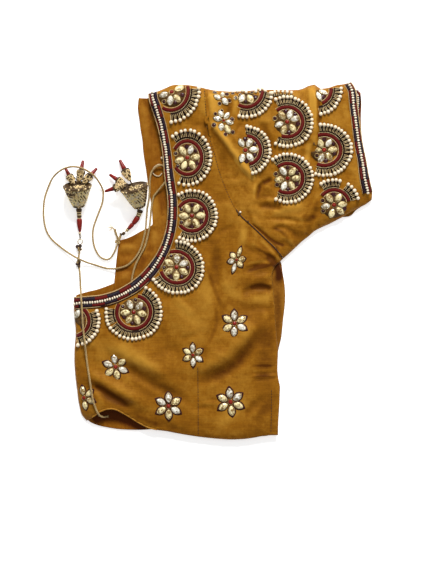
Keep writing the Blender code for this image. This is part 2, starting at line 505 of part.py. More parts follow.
def make_hidden_layers():
    """The front layers and under-sleeves inside the fold, as one crowned solid with layered rims."""
    rim = closed_loop([*HIDDEN_RIM, HIDDEN_RIM[0]], step=10)
    rings = [offset(rim, inset) for inset, _ in HIDDEN_STEPS]
    heights = [height for _, height in HIDDEN_STEPS]
    shape = bmesh.new()
    rows = [
        [shape.verts.new((x * MM, y * MM, z * MM)) for x, y in ring] for ring, z in zip(rings, heights)
    ]
    for a, b in zip(rows, rows[1:]):
        for i in range(len(a)):
            j = (i + 1) % len(a)
            shape.faces.new((a[i], a[j], b[j], b[i]))
    inner = panel_points(rings[-1], 22, ())
    for ring, row, points, crown in ((rings[0], rows[0], [], 0), (rings[-1], rows[-1], inner, HIDDEN_CROWN)):
        flat, faces = triangles(ring, np.array(points).reshape(-1, 2))
        level = row[0].co.z / MM + crown * smooth(abs(nearest_on(flat, np.vstack([ring, ring[:1]]))[0]) / 22)
        field = [shape.verts.new((x * MM, y * MM, z * MM)) for (x, y), z in zip(flat, level)]
        for face in faces:
            shape.faces.new([field[i] for i in (face if crown else face[::-1])])
    bmesh.ops.remove_doubles(shape, verts=shape.verts, dist=1e-6)
    mesh = bpy.data.meshes.new("hidden_layers")
    shape.to_mesh(mesh)
    shape.free()
    link(bpy.data.objects.new("hidden_layers", shaded(mesh)), HIDDEN, 0.6)


def make_border(name, line, inwards, width, height):
    """Braid along an edge: gold cord, silk stripe, row of pearls, silk stripe and gold cord."""
    # share of the width, height above the cloth
    section = [(0.03, 1.2), (0.12, 1.5), (0.22, 0.9), (0.38, 1.9), (0.62, 1.9), (0.78, 0.9), (0.92, 1.4), (1.0, 0.9)]
    under = [1.0, 0.66, 0.33, 0.03]
    stations = curve(line, 7.5)[1:-1] if width == BORDER_WIDTH else curve(line, 7.5)
    along = np.gradient(stations, axis=0)
    along /= np.linalg.norm(along, axis=1)[:, None]
    normal = inwards * np.column_stack([-along[:, 1], along[:, 0]])

    def spot(share):
        return stations + normal * (0.35 + (width - 0.35) * share)

    flat = np.stack([spot(share) for share in under], axis=1)
    rows, cols = flat.shape[:2]
    corners = [(i * cols + j, (i + 1) * cols + j + 1) for i in range(rows - 1) for j in range(cols - 1)]
    faces = [face for a, b in corners for face in ([a, a + 1, b], [a, b, b - 1])]
    level = resting(flat.reshape(-1, 2), faces, height).reshape(rows, cols)
    top = []
    for share, lift in section:
        z = [np.interp(share, under[::-1], row[::-1]) for row in level]
        top.append(np.column_stack([spot(share), np.array(z) + lift]))
    rings = np.concatenate([np.stack(top, axis=1), np.dstack([flat, level])], axis=1)
    return loft(name, rings, MAROON, 0.6)


def polar(centre, along, across, facing, shares, angles):
    """Points about a centre, in shares of its two reaches, with the first along `facing` degrees."""
    turn = math.radians(facing)
    spoke = np.column_stack([np.cos(angles) * along, np.sin(angles) * across]) * np.reshape(shares, (-1, 1))
    return np.array(centre) + spoke @ np.array([[math.cos(turn), math.sin(turn)], [-math.sin(turn), math.cos(turn)]])


def thinned(points, apart=2.2):
    """A closed outline without the points that came to lie on one another."""
    kept = [points[0]]
    for p in points[1:]:
        if np.linalg.norm(p - kept[-1]) > apart and np.linalg.norm(p - kept[0]) > apart:
            kept.append(p)
    return np.array(kept)


def limits_of(row, rows, panel, lines):
    """What an ornament keeps clear of: its panel's edge, the borders and the pleat, and its neighbours."""
    name, centre, along, across, _ = row
    found = [(np.vstack([panel, panel[:1]]), 1, CLEAR_OF_EDGE), *lines]
    for other, at, other_along, other_across, _ in rows:
        if other == name or (other in BEYOND_PLEAT) != (name in BEYOND_PLEAT):
            continue
        away = np.subtract(at, centre)
        distance = np.linalg.norm(away)
        mine, theirs = (along + across) / 2, (other_along + other_across) / 2
        if distance < mine + theirs + 0.6:
            cut = np.array(centre) + away / distance * (distance + mine - theirs) / 2
            run = np.array([-away[1], away[0]]) / distance * 90
            found.append((np.array([cut - run, cut + run]), 1, 0.3))
    return found


def make_medallion(row, limits, height):
    """A horseshoe of couched cord round a six-petalled flower, fringed with pearls."""
    name, centre, along, across, facing = row

    def ring(share, count):
        angles = np.arange(count) * 2 * math.pi / count
        past = smooth((abs(np.angle(np.exp(1j * angles))) - OPEN_FROM) / 0.4)
        limit = 1 - (1 - OPEN_REACH) * past
        points = polar(centre, along, across, facing, np.minimum(share, 0.97 * share * limit + 0.03 * limit), angles)
        return points if share < 0.5 else polar(centre, along, across, facing, share * limit, angles)

    outline = ring(1.0, 18)
    for _ in range(2):
        for line, side, distance in limits:
            outline = clear_of(outline, line, side, distance)
    outline = thinned(outline)
    edge = np.vstack([outline, outline[:1]])

    def within(points, apart):
        points = points[inside(points, outline)]
        return points[abs(nearest_on(points, edge)[0]) > apart]

    raised = np.vstack([ring(share, count) for share, count, _ in MEDALLION_RINGS] + [[centre]])
    under = np.vstack([ring(0.66, 12), ring(0.33, 6), [centre]])
    shares = [0.0, *(share for share, _, _ in MEDALLION_RINGS), 1.0]
    lifts = [HUB_HEIGHT, *(lift for _, _, lift in MEDALLION_RINGS), RIM_HEIGHT]

    def relief(points):
        turn = math.radians(facing)
        away = (points - centre) @ np.array([[math.cos(turn), -math.sin(turn)], [math.sin(turn), math.cos(turn)]])
        share = np.hypot(away[:, 0] / along, away[:, 1] / across)
        petal = 0.5 - 0.5 * np.cos(PETALS * np.arctan2(away[:, 1], away[:, 0]))
        dip = PETAL_VALLEY * petal * np.clip(1 - abs(share - 0.31) / 0.14, 0, 1)
        rim = np.clip(abs(nearest_on(points, edge)[0]) / 2, 0, 1)
        return RIM_HEIGHT + (np.interp(share, shares, lifts) - dip - RIM_HEIGHT) * rim

    return sewn_on(name, outline, within(raised, 1.6), within(under, 3.5), relief, height, KUNDAN)


def make_sprig(row, limits, height):
    """A small six-petalled flower of set stones."""
    name, centre, along, across, turn = row
    tips = np.arange(2 * PETALS) * math.pi / PETALS
    outline = polar(centre, along, across, turn, np.tile([1.0, 0.62], PETALS), tips)
    for line, side, distance in limits:
        outline = clear_of(outline, line, side, distance)
    outline = thinned(outline)
    petals = polar(centre, along, across, turn, np.full(PETALS, 0.58), tips[::2])
    valleys = polar(centre, along, across, turn, np.full(PETALS, 0.3), tips[1::2])
    raised = np.vstack([petals, valleys, [centre]])
    raised = raised[inside(raised, outline)]
    raised = raised[abs(nearest_on(raised, np.vstack([outline, outline[:1]]))[0]) > 1.5]

    def relief(points):
        lifts = [(petals, 2.4), (valleys, 1.2), (np.array([centre]), 2.0)]
        found = np.full(len(points), 0.9)
        for spots, lift in lifts:
            apart = np.linalg.norm(points[:, None] - spots, axis=2).min(1)
            found = np.where(apart < 0.01, lift, found)
        return found

    middle = np.array([outline.mean(0)])
    return sewn_on(name, outline, raised, middle, relief, height, KUNDAN)


def make_ornaments(body, arm, height):
    pleat = curve(next(row[6] for row in FOLDS if row[0] == "sleeve_pleat"), 4)
    border = BORDER_WIDTH + 0.5
    back_rows = NECK_MEDALLIONS + SPRIGS[:7]
    sleeve_rows = SLEEVE_MEDALLIONS + SPRIGS[7:]
    neck, cuff = curve(NECK, 4), curve(CUFF, 4)
    for rows, panel, edges in ((back_rows, body, [(neck, 1, border)]), (sleeve_rows, arm, [(cuff, -1, border)])):
        for row in rows:
            hidden = [(pleat, 1, 3.4)] if row[0] in BEYOND_PLEAT else []
            limits = limits_of(row, rows, panel, edges + hidden)
            make = make_sprig if row[0].startswith("sprig") else make_medallion
            make(row, limits, height)


def tube(name, points):
    """A cord: a polyline read from a smooth curve through its route."""
    line = curve(points, CORD_STEP)
    data = bpy.data.curves.new(name, "CURVE")
    data.dimensions = "3D"
    data.bevel_depth = CORD_DIAMETER / 2 * MM
    data.bevel_resolution = 2
    data.use_fill_caps = True
    spline = data.splines.new("POLY")
    spline.points.add(len(line) - 1)
    for knot, p in zip(spline.points, line):
        knot.co = (*(p * MM), 1)
    return link(bpy.data.objects.new(name, data), GOLD, 0.5)


def turned(name, profile, sides, place, colour, roughness, metallic=0.0):
    """A turned bead or cone about its own Z axis, as a profile with a Screw modifier."""
    mesh = bpy.data.meshes.new(name)
    outline = [(0.0, profile[-1][1]), *profile[::-1], (0.0, profile[0][1])]
    if name.endswith("_bell"):
        outline[0] = (0.0, profile[-1][1] - BELL_DISH)
        outline.insert(1, (profile[-1][0] * 0.8, profile[-1][1] - BELL_DISH * 0.8))
    points = [(r * MM, 0, z * MM) for r, z in outline]
    mesh.from_pydata(points, [(i, i + 1) for i in range(len(points) - 1)], [])
    obj = link(bpy.data.objects.new(name, mesh), colour, roughness, metallic)
    screw = obj.modifiers.new("turn", "SCREW")
    screw.steps = screw.render_steps = sides
    screw.use_merge_vertices = True
    screw.merge_threshold = 1e-5
    screw.use_smooth_shade = True
    obj.matrix_world = place
    return obj


def aimed(start, direction):
    """A placement with its origin at start and its +Z along direction."""
    turn = Vector(direction).to_track_quat("Z", "Y").to_matrix().to_4x4()
    return Matrix.Translation(Vector(start) * MM) @ turn


def make_tassel(name, tip, opens, stem_ends, buds):
    """A cone tassel lying on its side, with a beaded stem and three small buds in its mouth."""
    reach, along = BELL_RESTS
    half_angle = math.atan((BELL_MOUTH_R - reach) / (BELL_LENGTH - along))
    heading = math.radians(opens)
    lying = Vector((math.cos(heading) * math.cos(half_angle), math.sin(heading) * math.cos(half_angle),
                    math.sin(half_angle)))
    start = Vector((*tip, reach * math.cos(half_angle) - along * math.sin(half_angle) + 0.35))
    turned(name + "_bell", BELL_PROFILE, 16, aimed(start, lying), GOLD, 0.4, 0.7)
    top, foot = Vector(stem_ends[0]), Vector(stem_ends[1])
    stretch = (foot - top).length / STEM_PROFILE[-1][1]
    turned(name + "_stem", [(r, z * stretch) for r, z in STEM_PROFILE], 10, aimed(top, foot - top), RED, 0.35)
    for i, (x, y, z, heading, fall, thread, size) in enumerate(buds, 1):
        away = (math.cos(math.radians(heading)), math.sin(math.radians(heading)), fall)
        profile = [(0.8, 0)] + [(max(r * size, 0.8), z * size + thread) for r, z in BUD_PROFILE]
        turned(f"{name}_bud_{i}", profile, 8, aimed((x, y, z), away), GOLD, 0.4, 0.7)


def make_ring():
    """The wire ring that ties the left tassel's stem to its cord."""
    bpy.ops.mesh.primitive_torus_add(
        major_radius=RING_RADIUS * MM, minor_radius=RING_WIRE * MM, major_segments=16, minor_segments=6,
        location=(-151.4 * MM, 20.3 * MM, 1.3 * MM))
    ring = bpy.context.object
    ring.name = "left_tassel_ring"
    for collection in ring.users_collection:
        collection.objects.unlink(ring)
    link(ring, GOLD, 0.3, 0.9)


def main():
    for obj in list(bpy.data.objects):
        bpy.data.objects.remove(obj)
    bpy.context.scene.collection.children.link(bpy.data.collections.new("choli_blouse"))
    (body, back), (arm, sleeve), far_sleeve = make_garment()
    make_hidden_layers()
    bpy.context.view_layer.update()
    on_top = surface_of(back, sleeve)
    make_border("neck_border", NECK, 1, BORDER_WIDTH, on_top)
    make_border("cuff_border", CUFF, -1, BORDER_WIDTH, on_top)
    make_border("far_cuff_border", FAR_CUFF, -1, FAR_BORDER_WIDTH, surface_of(far_sleeve))
    make_ornaments(body, arm, on_top)
    for row in TASSELS:
        make_tassel(*row)
    make_ring()
    tube("tie_cord_hem", CORD_HEM)
    tube("tie_cord_long", CORD_LONG)
    tube("tie_cord_short", CORD_SHORT)
    for obj in bpy.data.collections["choli_blouse"].objects:
        obj.location -= Vector((*BASE_CENTRE, 0)) * MM


main()
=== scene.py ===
import math
import random

import bmesh
import bpy
import numpy as np
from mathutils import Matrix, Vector, geometry, noise
from mathutils.bvhtree import BVHTree


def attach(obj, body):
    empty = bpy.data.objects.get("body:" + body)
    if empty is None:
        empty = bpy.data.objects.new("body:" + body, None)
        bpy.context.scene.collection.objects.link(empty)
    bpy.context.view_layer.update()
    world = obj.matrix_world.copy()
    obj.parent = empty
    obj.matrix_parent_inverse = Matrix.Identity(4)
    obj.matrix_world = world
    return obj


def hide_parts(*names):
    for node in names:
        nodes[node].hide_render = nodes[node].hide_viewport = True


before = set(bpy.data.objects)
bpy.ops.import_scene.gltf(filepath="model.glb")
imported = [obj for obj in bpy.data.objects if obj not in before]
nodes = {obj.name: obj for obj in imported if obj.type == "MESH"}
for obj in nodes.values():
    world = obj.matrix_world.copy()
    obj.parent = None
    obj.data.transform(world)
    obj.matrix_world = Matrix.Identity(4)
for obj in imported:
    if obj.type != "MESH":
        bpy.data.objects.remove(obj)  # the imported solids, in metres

# Sizes are in millimetres in the frame's own axes, with +Z up from the table.
mm = 0.001
up = (0.0, 0.0, 1.0)
scene = bpy.context.scene
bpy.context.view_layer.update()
shelf = bpy.data.collections.new("choliLooks")
scene.collection.children.link(shelf)
finishes = {}  # material name -> material
cloths = {}  # piece name -> outline and height tree


# camera, lights and table
studio = {
    "middle": (-6.9, -29.1), "height": 605.9, "cameraAbove": 2400, "clothTop": 10, "sensor": 36.0,
    "tableSize": 6000, "tableDrop": 0.6, "tableColour": (0.98, 0.98, 0.98), "tableGlow": 0.52,
    "keyFrom": (300, 3000, 2270), "keySize": (1100, 900), "keyPower": 172,
    "softFrom": (500, -300, 1900), "softSize": (2200, 2200), "softPower": 7,
    "worldLight": 0.29,
}


def areaLight(name, spot, size, power):
    data = bpy.data.lights.new(name, "AREA")
    data.shape = "RECTANGLE"
    data.size, data.size_y = size[0] * mm, size[1] * mm
    data.energy = power
    lamp = bpy.data.objects.new(name, data)
    lamp.location = Vector(spot) * mm
    lamp.rotation_euler = (-lamp.location).to_track_quat("-Z", "Y").to_euler()
    scene.collection.objects.link(lamp)


def setUpStudio(s):
    data = bpy.data.cameras.new("camera")
    data.sensor_width = s["sensor"]
    data.lens = s["sensor"] * (s["cameraAbove"] - s["clothTop"]) / s["height"]
    camera = bpy.data.objects.new("camera", data)
    camera.location = Vector((*s["middle"], s["cameraAbove"])) * mm
    scene.collection.objects.link(camera)
    scene.camera = camera
    scene.view_settings.view_transform = "Standard"
    areaLight("keyLight", s["keyFrom"], s["keySize"], s["keyPower"])
    areaLight("softLight", s["softFrom"], s["softSize"], s["softPower"])
    world = bpy.data.worlds.new("paleRoom")
    world.use_nodes = True
    glow = world.node_tree.nodes["Background"].inputs
    glow["Color"].default_value, glow["Strength"].default_value = (1, 1, 1, 1), s["worldLight"]
    scene.world = world
    half = s["tableSize"] / 2 * mm
    mesh = bpy.data.meshes.new("table")
    corners = [(-half, -half, 0), (half, -half, 0), (half, half, 0), (-half, half, 0)]
    mesh.from_pydata(corners, [], [(0, 1, 2, 3)])
    table = bpy.data.objects.new("table", mesh)
    table.location.z = -s["tableDrop"] * mm
    paint = bpy.data.materials.new("paleTable")
    paint.use_nodes = True
    for socket, value in (("Base Color", (*s["tableColour"], 1)), ("Roughness", 0.9),
                          ("Emission Color", (1, 1, 1, 1)), ("Emission Strength", s["tableGlow"])):
        paint.node_tree.nodes["Principled BSDF"].inputs[socket].default_value = value
    mesh.materials.append(paint)
    scene.collection.objects.link(table)


setUpStudio(studio)
print("studio ready")


# shader node helpers
def addNode(tree, kind, inputs=None, **settings):
    node = tree.nodes.new("ShaderNode" + kind)
    for name, value in settings.items():
        setattr(node, name, value)
    for key, value in (inputs or {}).items():
        if isinstance(value, bpy.types.NodeSocket):
            tree.links.new(value, node.inputs[key])
        else:
            node.inputs[key].default_value = value
    return node


def newGroup(name, inputs, outputs):
    group = bpy.data.node_groups.new(name, "ShaderNodeTree")
    for label, kind, value in inputs:
        socket = group.interface.new_socket(label, in_out="INPUT", socket_type="NodeSocket" + kind)
        socket.default_value = value
    for label, kind in outputs:
        group.interface.new_socket(label, in_out="OUTPUT", socket_type="NodeSocket" + kind)
    entry, leave = group.nodes.new("NodeGroupInput"), group.nodes.new("NodeGroupOutput")
    return group, entry.outputs, leave.inputs


def useGroup(tree, group, values):
    node = tree.nodes.new("ShaderNodeGroup")
    node.node_tree = group
    for name, value in values.items():
        node.inputs[name].default_value = value
    return node.outputs


def mixColours(tree, factor, a, b, how="MIX"):
    node = addNode(tree, "Mix", data_type="RGBA", blend_type=how)
    for index, value in ((0, factor), (6, a), (7, b)):
        if isinstance(value, bpy.types.NodeSocket):
            tree.links.new(value, node.inputs[index])
        else:
            node.inputs[index].default_value = value
    return node.outputs[2]


def maths(tree, operation, a, b=0.0, c=0.0):
    return addNode(tree, "Math", {0: a, 1: b, 2: c}, operation=operation).outputs[0]


def noiseOver(tree, place, scale, detail, roughness=0.5):
    return addNode(tree, "TexNoise", {
        "Vector": place, "Scale": scale, "Detail": detail, "Roughness": roughness}).outputs[0]


# slubbed plain weave: threads and slubs as height, two shades of thread and slow fading as colour, and
# painted sheen on ridges and painted shade in hollows
def makeWeaveGroup():
    tree, entry, leave = newGroup("slubWeave", [
        ("Thread", "Color", (0.5, 0.5, 0.5, 1)), ("Shade", "Color", (0.3, 0.3, 0.3, 1)),
        ("Paintedlight", "Color", (0.6, 0.6, 0.6, 1)), ("Deep", "Color", (0.1, 0.1, 0.1, 1)),
        ("Turn", "Float", 0.0), ("Slub", "Float", 0.5),
        ("Fading", "Float", 0.3), ("Threads per metre", "Float", 1500.0)],
        [("Color", "Color"), ("Roughness", "Float"), ("Height", "Float")])
    links = tree.links
    place = addNode(tree, "TexCoord").outputs["Object"]
    turned = addNode(tree, "VectorRotate", {"Vector": place, "Angle": entry["Turn"]}, rotation_type="Z_AXIS")
    axes = addNode(tree, "SeparateXYZ", {0: turned.outputs[0]})
    streak = addNode(tree, "Mapping", {"Vector": turned.outputs[0], "Scale": (60, 950, 90)}).outputs[0]
    warp = addNode(tree, "Mapping", {"Vector": turned.outputs[0], "Scale": (900, 60, 60)}).outputs[0]
    slubs, warps = noiseOver(tree, streak, 1.0, 3.0, 0.6), noiseOver(tree, warp, 1.0, 2.0)
    fading = noiseOver(tree, place, 14.0, 3.0, 0.55)
    turns = maths(tree, "MULTIPLY", entry["Threads per metre"], 2 * math.pi)
    over = maths(tree, "SINE", maths(tree, "MULTIPLY", axes.outputs[0], turns))
    under = maths(tree, "SINE", maths(tree, "MULTIPLY", axes.outputs[1], turns))
    weave = maths(tree, "MULTIPLY", over, under)
    lines = maths(tree, "ADD", slubs, maths(tree, "MULTIPLY", warps, 0.35))
    ramp = addNode(tree, "MapRange", {"Value": lines, "From Min": 0.5, "From Max": 0.8})
    shaded = maths(tree, "MULTIPLY", ramp.outputs[0], entry["Slub"])
    base = mixColours(tree, shaded, entry["Thread"], entry["Shade"])
    patch = addNode(tree, "MapRange", {"Value": fading, "From Min": 0.42, "From Max": 0.72})
    # rise is above 0 on ridges, which get a painted sheen highlight, and below 0 in hollows, which get
    # painted shade; random flecks push both ways too
    rise = addNode(tree, "Attribute", attribute_name="rise").outputs["Fac"]
    uneven = maths(tree, "SUBTRACT", noiseOver(tree, place, 150.0, 5.0, 0.8), 0.5)
    lift = maths(tree, "MULTIPLY_ADD", rise, 0.5, maths(tree, "MULTIPLY", uneven, 1.35))
    bright = maths(tree, "MULTIPLY_ADD", patch.outputs[0], entry["Fading"], lift)
    lit = mixColours(tree, addNode(tree, "Clamp", {0: bright}).outputs[0], base, entry["Paintedlight"])
    low = addNode(tree, "Clamp", {0: maths(tree, "MULTIPLY", lift, -1.0)}).outputs[0]
    links.new(mixColours(tree, low, lit, entry["Deep"]), leave["Color"])
    rough = addNode(tree, "MapRange", {
        "Value": lines, "From Min": 0.4, "From Max": 0.9, "To Min": 0.38, "To Max": 0.58})
    links.new(rough.outputs[0], leave["Roughness"])
    links.new(maths(tree, "ADD", maths(tree, "MULTIPLY", weave, 0.16), lines), leave["Height"])
    return tree


# every bead or stone a little unlike the next, and mottled inside itself
def makeTintGroup():
    tree, entry, leave = newGroup("pieceTint", [
        ("Colour", "Color", (0.5, 0.5, 0.5, 1)), ("Other", "Color", (0.4, 0.4, 0.4, 1)),
        ("Spread", "Float", 1.0), ("Grain", "Float", 400.0), ("Cells", "Float", 0.0)],
        [("Color", "Color"), ("Roughness", "Float"), ("Height", "Float")])
    each = addNode(tree, "NewGeometry").outputs["Random Per Island"]
    place = addNode(tree, "TexCoord").outputs["Object"]
    fine = addNode(tree, "TexNoise", {"Vector": place, "Scale": entry["Grain"], "Detail": 3.0})
    cells = addNode(tree, "TexVoronoi", {"Vector": place, "Scale": entry["Grain"]}, feature="F1")
    split = addNode(tree, "SeparateColor", {0: cells.outputs["Color"]})
    mottle = mixColours(tree, entry["Cells"], fine.outputs["Color"], split.outputs[0])
    grey = addNode(tree, "RGBToBW", {0: mottle}).outputs[0]
    amount = maths(tree, "MULTIPLY_ADD", each, 0.35, maths(tree, "MULTIPLY_ADD", grey, 1.1, -0.35))
    spread = maths(tree, "MULTIPLY", amount, entry["Spread"])
    clean = addNode(tree, "Clamp", {0: spread}).outputs[0]
    tree.links.new(mixColours(tree, clean, entry["Colour"], entry["Other"]), leave["Color"])
    tree.links.new(maths(tree, "MULTIPLY_ADD", grey, 0.2, -0.1), leave["Roughness"])
    tree.links.new(grey, leave["Height"])
    return tree


# floss or wound thread that runs across a stripe or round a cord, from the strand length on each point
def makeStrandGroup():
    tree, entry, leave = newGroup("floss", [
        ("Colour", "Color", (0.3, 0.1, 0.1, 1)), ("Gap", "Color", (0.1, 0.05, 0.05, 1)),
        ("Threads per mm", "Float", 2.0), ("Depth", "Float", 0.5)],
        [("Color", "Color"), ("Height", "Float")])
    run = addNode(tree, "Attribute", attribute_name="strand").outputs["Fac"]
    place = addNode(tree, "TexCoord").outputs["Object"]
    wander = noiseOver(tree, place, 420.0, 2.0)
    turns = maths(tree, "MULTIPLY", run, maths(tree, "MULTIPLY", entry["Threads per mm"], 2 * math.pi))
    wave = maths(tree, "SINE", maths(tree, "MULTIPLY_ADD", wander, 4.0, turns))
    ridge = maths(tree, "MULTIPLY_ADD", wave, 0.5, 0.5)
    gap = maths(tree, "SUBTRACT", 1.0, maths(tree, "MULTIPLY", ridge, wander))
    low = maths(tree, "MULTIPLY", gap, entry["Depth"])
    tree.links.new(mixColours(tree, low, entry["Colour"], entry["Gap"]), leave["Color"])
    tree.links.new(ridge, leave["Height"])
    return tree


weaveGroup, tintGroup, strandGroup = makeWeaveGroup(), makeTintGroup(), makeStrandGroup()


def newFinish(name, values):
    material = bpy.data.materials.new(name)
    material.use_nodes = True
    shader = material.node_tree.nodes["Principled BSDF"]
    for key, value in values.items():
        shader.inputs[shaderNames.get(key, key)].default_value = value
    finishes[name] = material
    return material.node_tree, shader


def addBump(tree, shader, height, strength, distance):
    bump = addNode(tree, "Bump", {"Height": height, "Strength": strength, "Distance": distance * mm})
    tree.links.new(bump.outputs[0], shader.inputs["Normal"])


# shades of thread, the colours for painted highlight on ridges and painted shade in hollows, angle of the
# weft and how uneven it is
silkLooks = {
    "ochreSilk": {
        "thread": (0.29, 0.112, 0.0065), "shade": (0.165, 0.055, 0.003), "paintedlight": (0.46, 0.225, 0.026),
        "deep": (0.095, 0.026, 0.002), "turn": 0.0, "slub": 0.46, "fading": 0.25},
    "ochreSleeveSilk": {
        "thread": (0.295, 0.114, 0.0065), "shade": (0.165, 0.055, 0.003), "paintedlight": (0.5, 0.245, 0.03),
        "deep": (0.095, 0.026, 0.002), "turn": 0.1, "slub": 0.44, "fading": 0.28},
    "strapInside": {
        "thread": (0.262, 0.092, 0.006), "shade": (0.16, 0.046, 0.003), "paintedlight": (0.42, 0.19, 0.022),
        "deep": (0.085, 0.016, 0.003), "turn": 1.45, "slub": 0.5, "fading": 0.35},
    "foldedSilk": {
        "thread": (0.25, 0.096, 0.009), "shade": (0.17, 0.056, 0.004), "paintedlight": (0.36, 0.165, 0.022),
        "deep": (0.05, 0.01, 0.002), "turn": 0.05, "slub": 0.5, "fading": 0.2},
    # the rolled hem's silk is lighter than the rest: a painted highlight on the turned edge
    "rolledHem": {
        "thread": (0.46, 0.215, 0.03), "shade": (0.3, 0.12, 0.01), "paintedlight": (0.55, 0.29, 0.05),
        "deep": (0.2, 0.07, 0.005), "turn": 0.0, "slub": 0.6, "fading": 0.3},
}


def makeSilk(name, look):
    sheen = {"Sheen Weight": 0.06, "Sheen Roughness": 0.4, "Sheen Tint": (1.0, 0.62, 0.18, 1),
             "Specular IOR Level": 0.12, "Specular Tint": (1.0, 0.68, 0.28, 1)}
    tree, shader = newFinish(name, sheen)
    weave = useGroup(tree, weaveGroup, {
        key.capitalize(): (*value, 1) if isinstance(value, tuple) else value for key, value in look.items()})
    tree.links.new(weave["Color"], shader.inputs["Base Color"])
    tree.links.new(weave["Roughness"], shader.inputs["Roughness"])
    addBump(tree, shader, weave["Height"], 0.55, 0.22)


# the shader's own values by the names used below
shaderNames = {"gloss": "Specular IOR Level", "glossTint": "Specular Tint", "metal": "Metallic",
               "coat": "Coat Weight", "coatRough": "Coat Roughness"}
# colour, colour it varies towards, how much, mottling per metre, share of cells, relief, roughness, others
beadLooks = {
    "pearl": ((0.82, 0.67, 0.44), (0.94, 0.84, 0.66), 0.9, 300, 0, 0.3, 0.28, dict(coat=0.3, coatRough=0.1,
        gloss=0.5)),
    "seedPearl": ((0.78, 0.66, 0.46), (0.94, 0.86, 0.7), 1.0, 400, 0, 0.3, 0.25, dict(coat=0.4,
        coatRough=0.12)),
    "zariBead": ((0.8, 0.55, 0.22), (1.0, 0.86, 0.54), 1.0, 500, 0.3, 0.4, 0.4, dict(gloss=0.25)),
    "zariBugle": ((0.56, 0.35, 0.12), (0.98, 0.8, 0.46), 1.1, 700, 0.4, 0.4, 0.4, dict(gloss=0.3)),
    "oldGold": ((0.46, 0.32, 0.13), (0.7, 0.54, 0.28), 0.9, 500, 0.2, 0.5, 0.36, dict(metal=0.45)),
    # brighter gold for the bells' bead cover, making up for the bells' shaded flanks: painted light
    "bellGold": ((1.0, 0.78, 0.3), (1.0, 0.95, 0.66), 1.0, 600, 0.4, 0.4, 0.35, dict(metal=0.15)),
    "bronzeBead": ((0.05, 0.023, 0.006), (0.14, 0.075, 0.02), 1.0, 500, 0.2, 0.5, 0.42, dict(metal=0.15,
        gloss=0.3)),
    "bezel": ((0.3, 0.19, 0.065), (0.6, 0.45, 0.2), 1.0, 900, 0.5, 0.5, 0.35, dict(metal=0.6)),
    # the stones' mottle of cream and dark brown cells is partly the foil's own tone and partly painted glints
    # and painted dark facet reflections
    "kundan": ((1.0, 0.87, 0.48), (0.24, 0.125, 0.02), 1.15, 640, 1.0, 0.5, 0.24, dict(metal=0.12,
        coat=0.15, coatRough=0.08)),
    "silverKundan": ((1.0, 0.97, 0.84), (0.24, 0.17, 0.08), 1.15, 640, 1.0, 0.5, 0.22, dict(metal=0.15,
        coat=0.2, coatRough=0.08)),
    "nightStone": ((0.024, 0.003, 0.005), (0.062, 0.008, 0.008), 1.0, 500, 0.5, 0.2, 0.22,
        dict(gloss=0.35)),
    "redStone": ((0.17, 0.009, 0.005), (0.32, 0.03, 0.01), 1.0, 500, 0.6, 0.2, 0.3, dict(gloss=0.2)),
    "redEnamel": ((0.25, 0.014, 0.007), (0.13, 0.006, 0.004), 0.9, 420, 0.4, 0.3, 0.34, dict(gloss=0.25)),
    "ringWire": ((0.6, 0.5, 0.34), (0.72, 0.64, 0.48), 0.8, 300, 0.0, 0.3, 0.25, dict(metal=0.9)),
    "darkCore": ((0.045, 0.022, 0.007), (0.1, 0.055, 0.018), 1.0, 700, 0.3, 0.6, 0.6, {}),
}
# thread colour, colour between threads, threads per mm, how dark the gaps are, roughness, the rest
flossLooks = {
    "maroonSatin": ((0.15, 0.009, 0.006), (0.065, 0.004, 0.004), 2.2, 0.7, 0.5, dict(gloss=0.2,
        glossTint=(1.0, 0.5, 0.45, 1))),
    "navySatin": ((0.016, 0.006, 0.018), (0.006, 0.002, 0.007), 2.2, 0.7, 0.45, dict(gloss=0.2)),
    "umberFloss": ((0.03, 0.012, 0.004), (0.008, 0.003, 0.002), 1.2, 0.9, 0.7, dict(gloss=0.1)),
    "couchedGround": ((0.22, 0.105, 0.014), (0.04, 0.014, 0.003), 1.1, 0.9, 0.55, dict(gloss=0.25)),
    "zariCord": ((0.8, 0.6, 0.3), (0.36, 0.21, 0.07), 2.4, 0.75, 0.42, dict(metal=0.2)),
    "tieCord": ((1.0, 0.76, 0.33), (0.17, 0.08, 0.018), 2.0, 0.95, 0.5, dict(metal=0.1)),
    "darkOutline": ((0.05, 0.007, 0.005), (0.02, 0.003, 0.003), 2.4, 0.7, 0.6, dict(gloss=0.15)),
    "seamThread": ((0.05, 0.013, 0.005), (0.025, 0.007, 0.003), 2.0, 0.6, 0.7, {}),
    "paleThread": ((0.78, 0.64, 0.42), (0.5, 0.36, 0.18), 2.0, 0.6, 0.6, {}),
}


def makeFinishes():
    for name, look in silkLooks.items():
        makeSilk(name, look)
    for name, (colour, other, spread, grain, cells, relief, roughness, values) in beadLooks.items():
        tree, shader = newFinish(name, {"Roughness": roughness, **values})
        tint = useGroup(tree, tintGroup, {
            "Colour": (*colour, 1), "Other": (*other, 1), "Spread": spread, "Grain": grain, "Cells": cells})
        tree.links.new(tint["Color"], shader.inputs["Base Color"])
        rough = maths(tree, "ADD", tint["Roughness"], roughness)
        rough = addNode(tree, "Clamp", {0: rough, 1: 0.05, 2: 1.0}).outputs[0]
        tree.links.new(rough, shader.inputs["Roughness"])
        addBump(tree, shader, tint["Height"], relief, 0.12)
    for name, (colour, gap, threads, depth, roughness, values) in flossLooks.items():
        tree, shader = newFinish(name, {"Roughness": roughness, **values})
        floss = useGroup(tree, strandGroup, {
            "Colour": (*colour, 1), "Gap": (*gap, 1), "Threads per mm": threads, "Depth": depth})
        tree.links.new(floss["Color"], shader.inputs["Base Color"])
        addBump(tree, shader, floss["Height"], 0.6, 0.14)


makeFinishes()
print("finishes ready:", len(finishes))


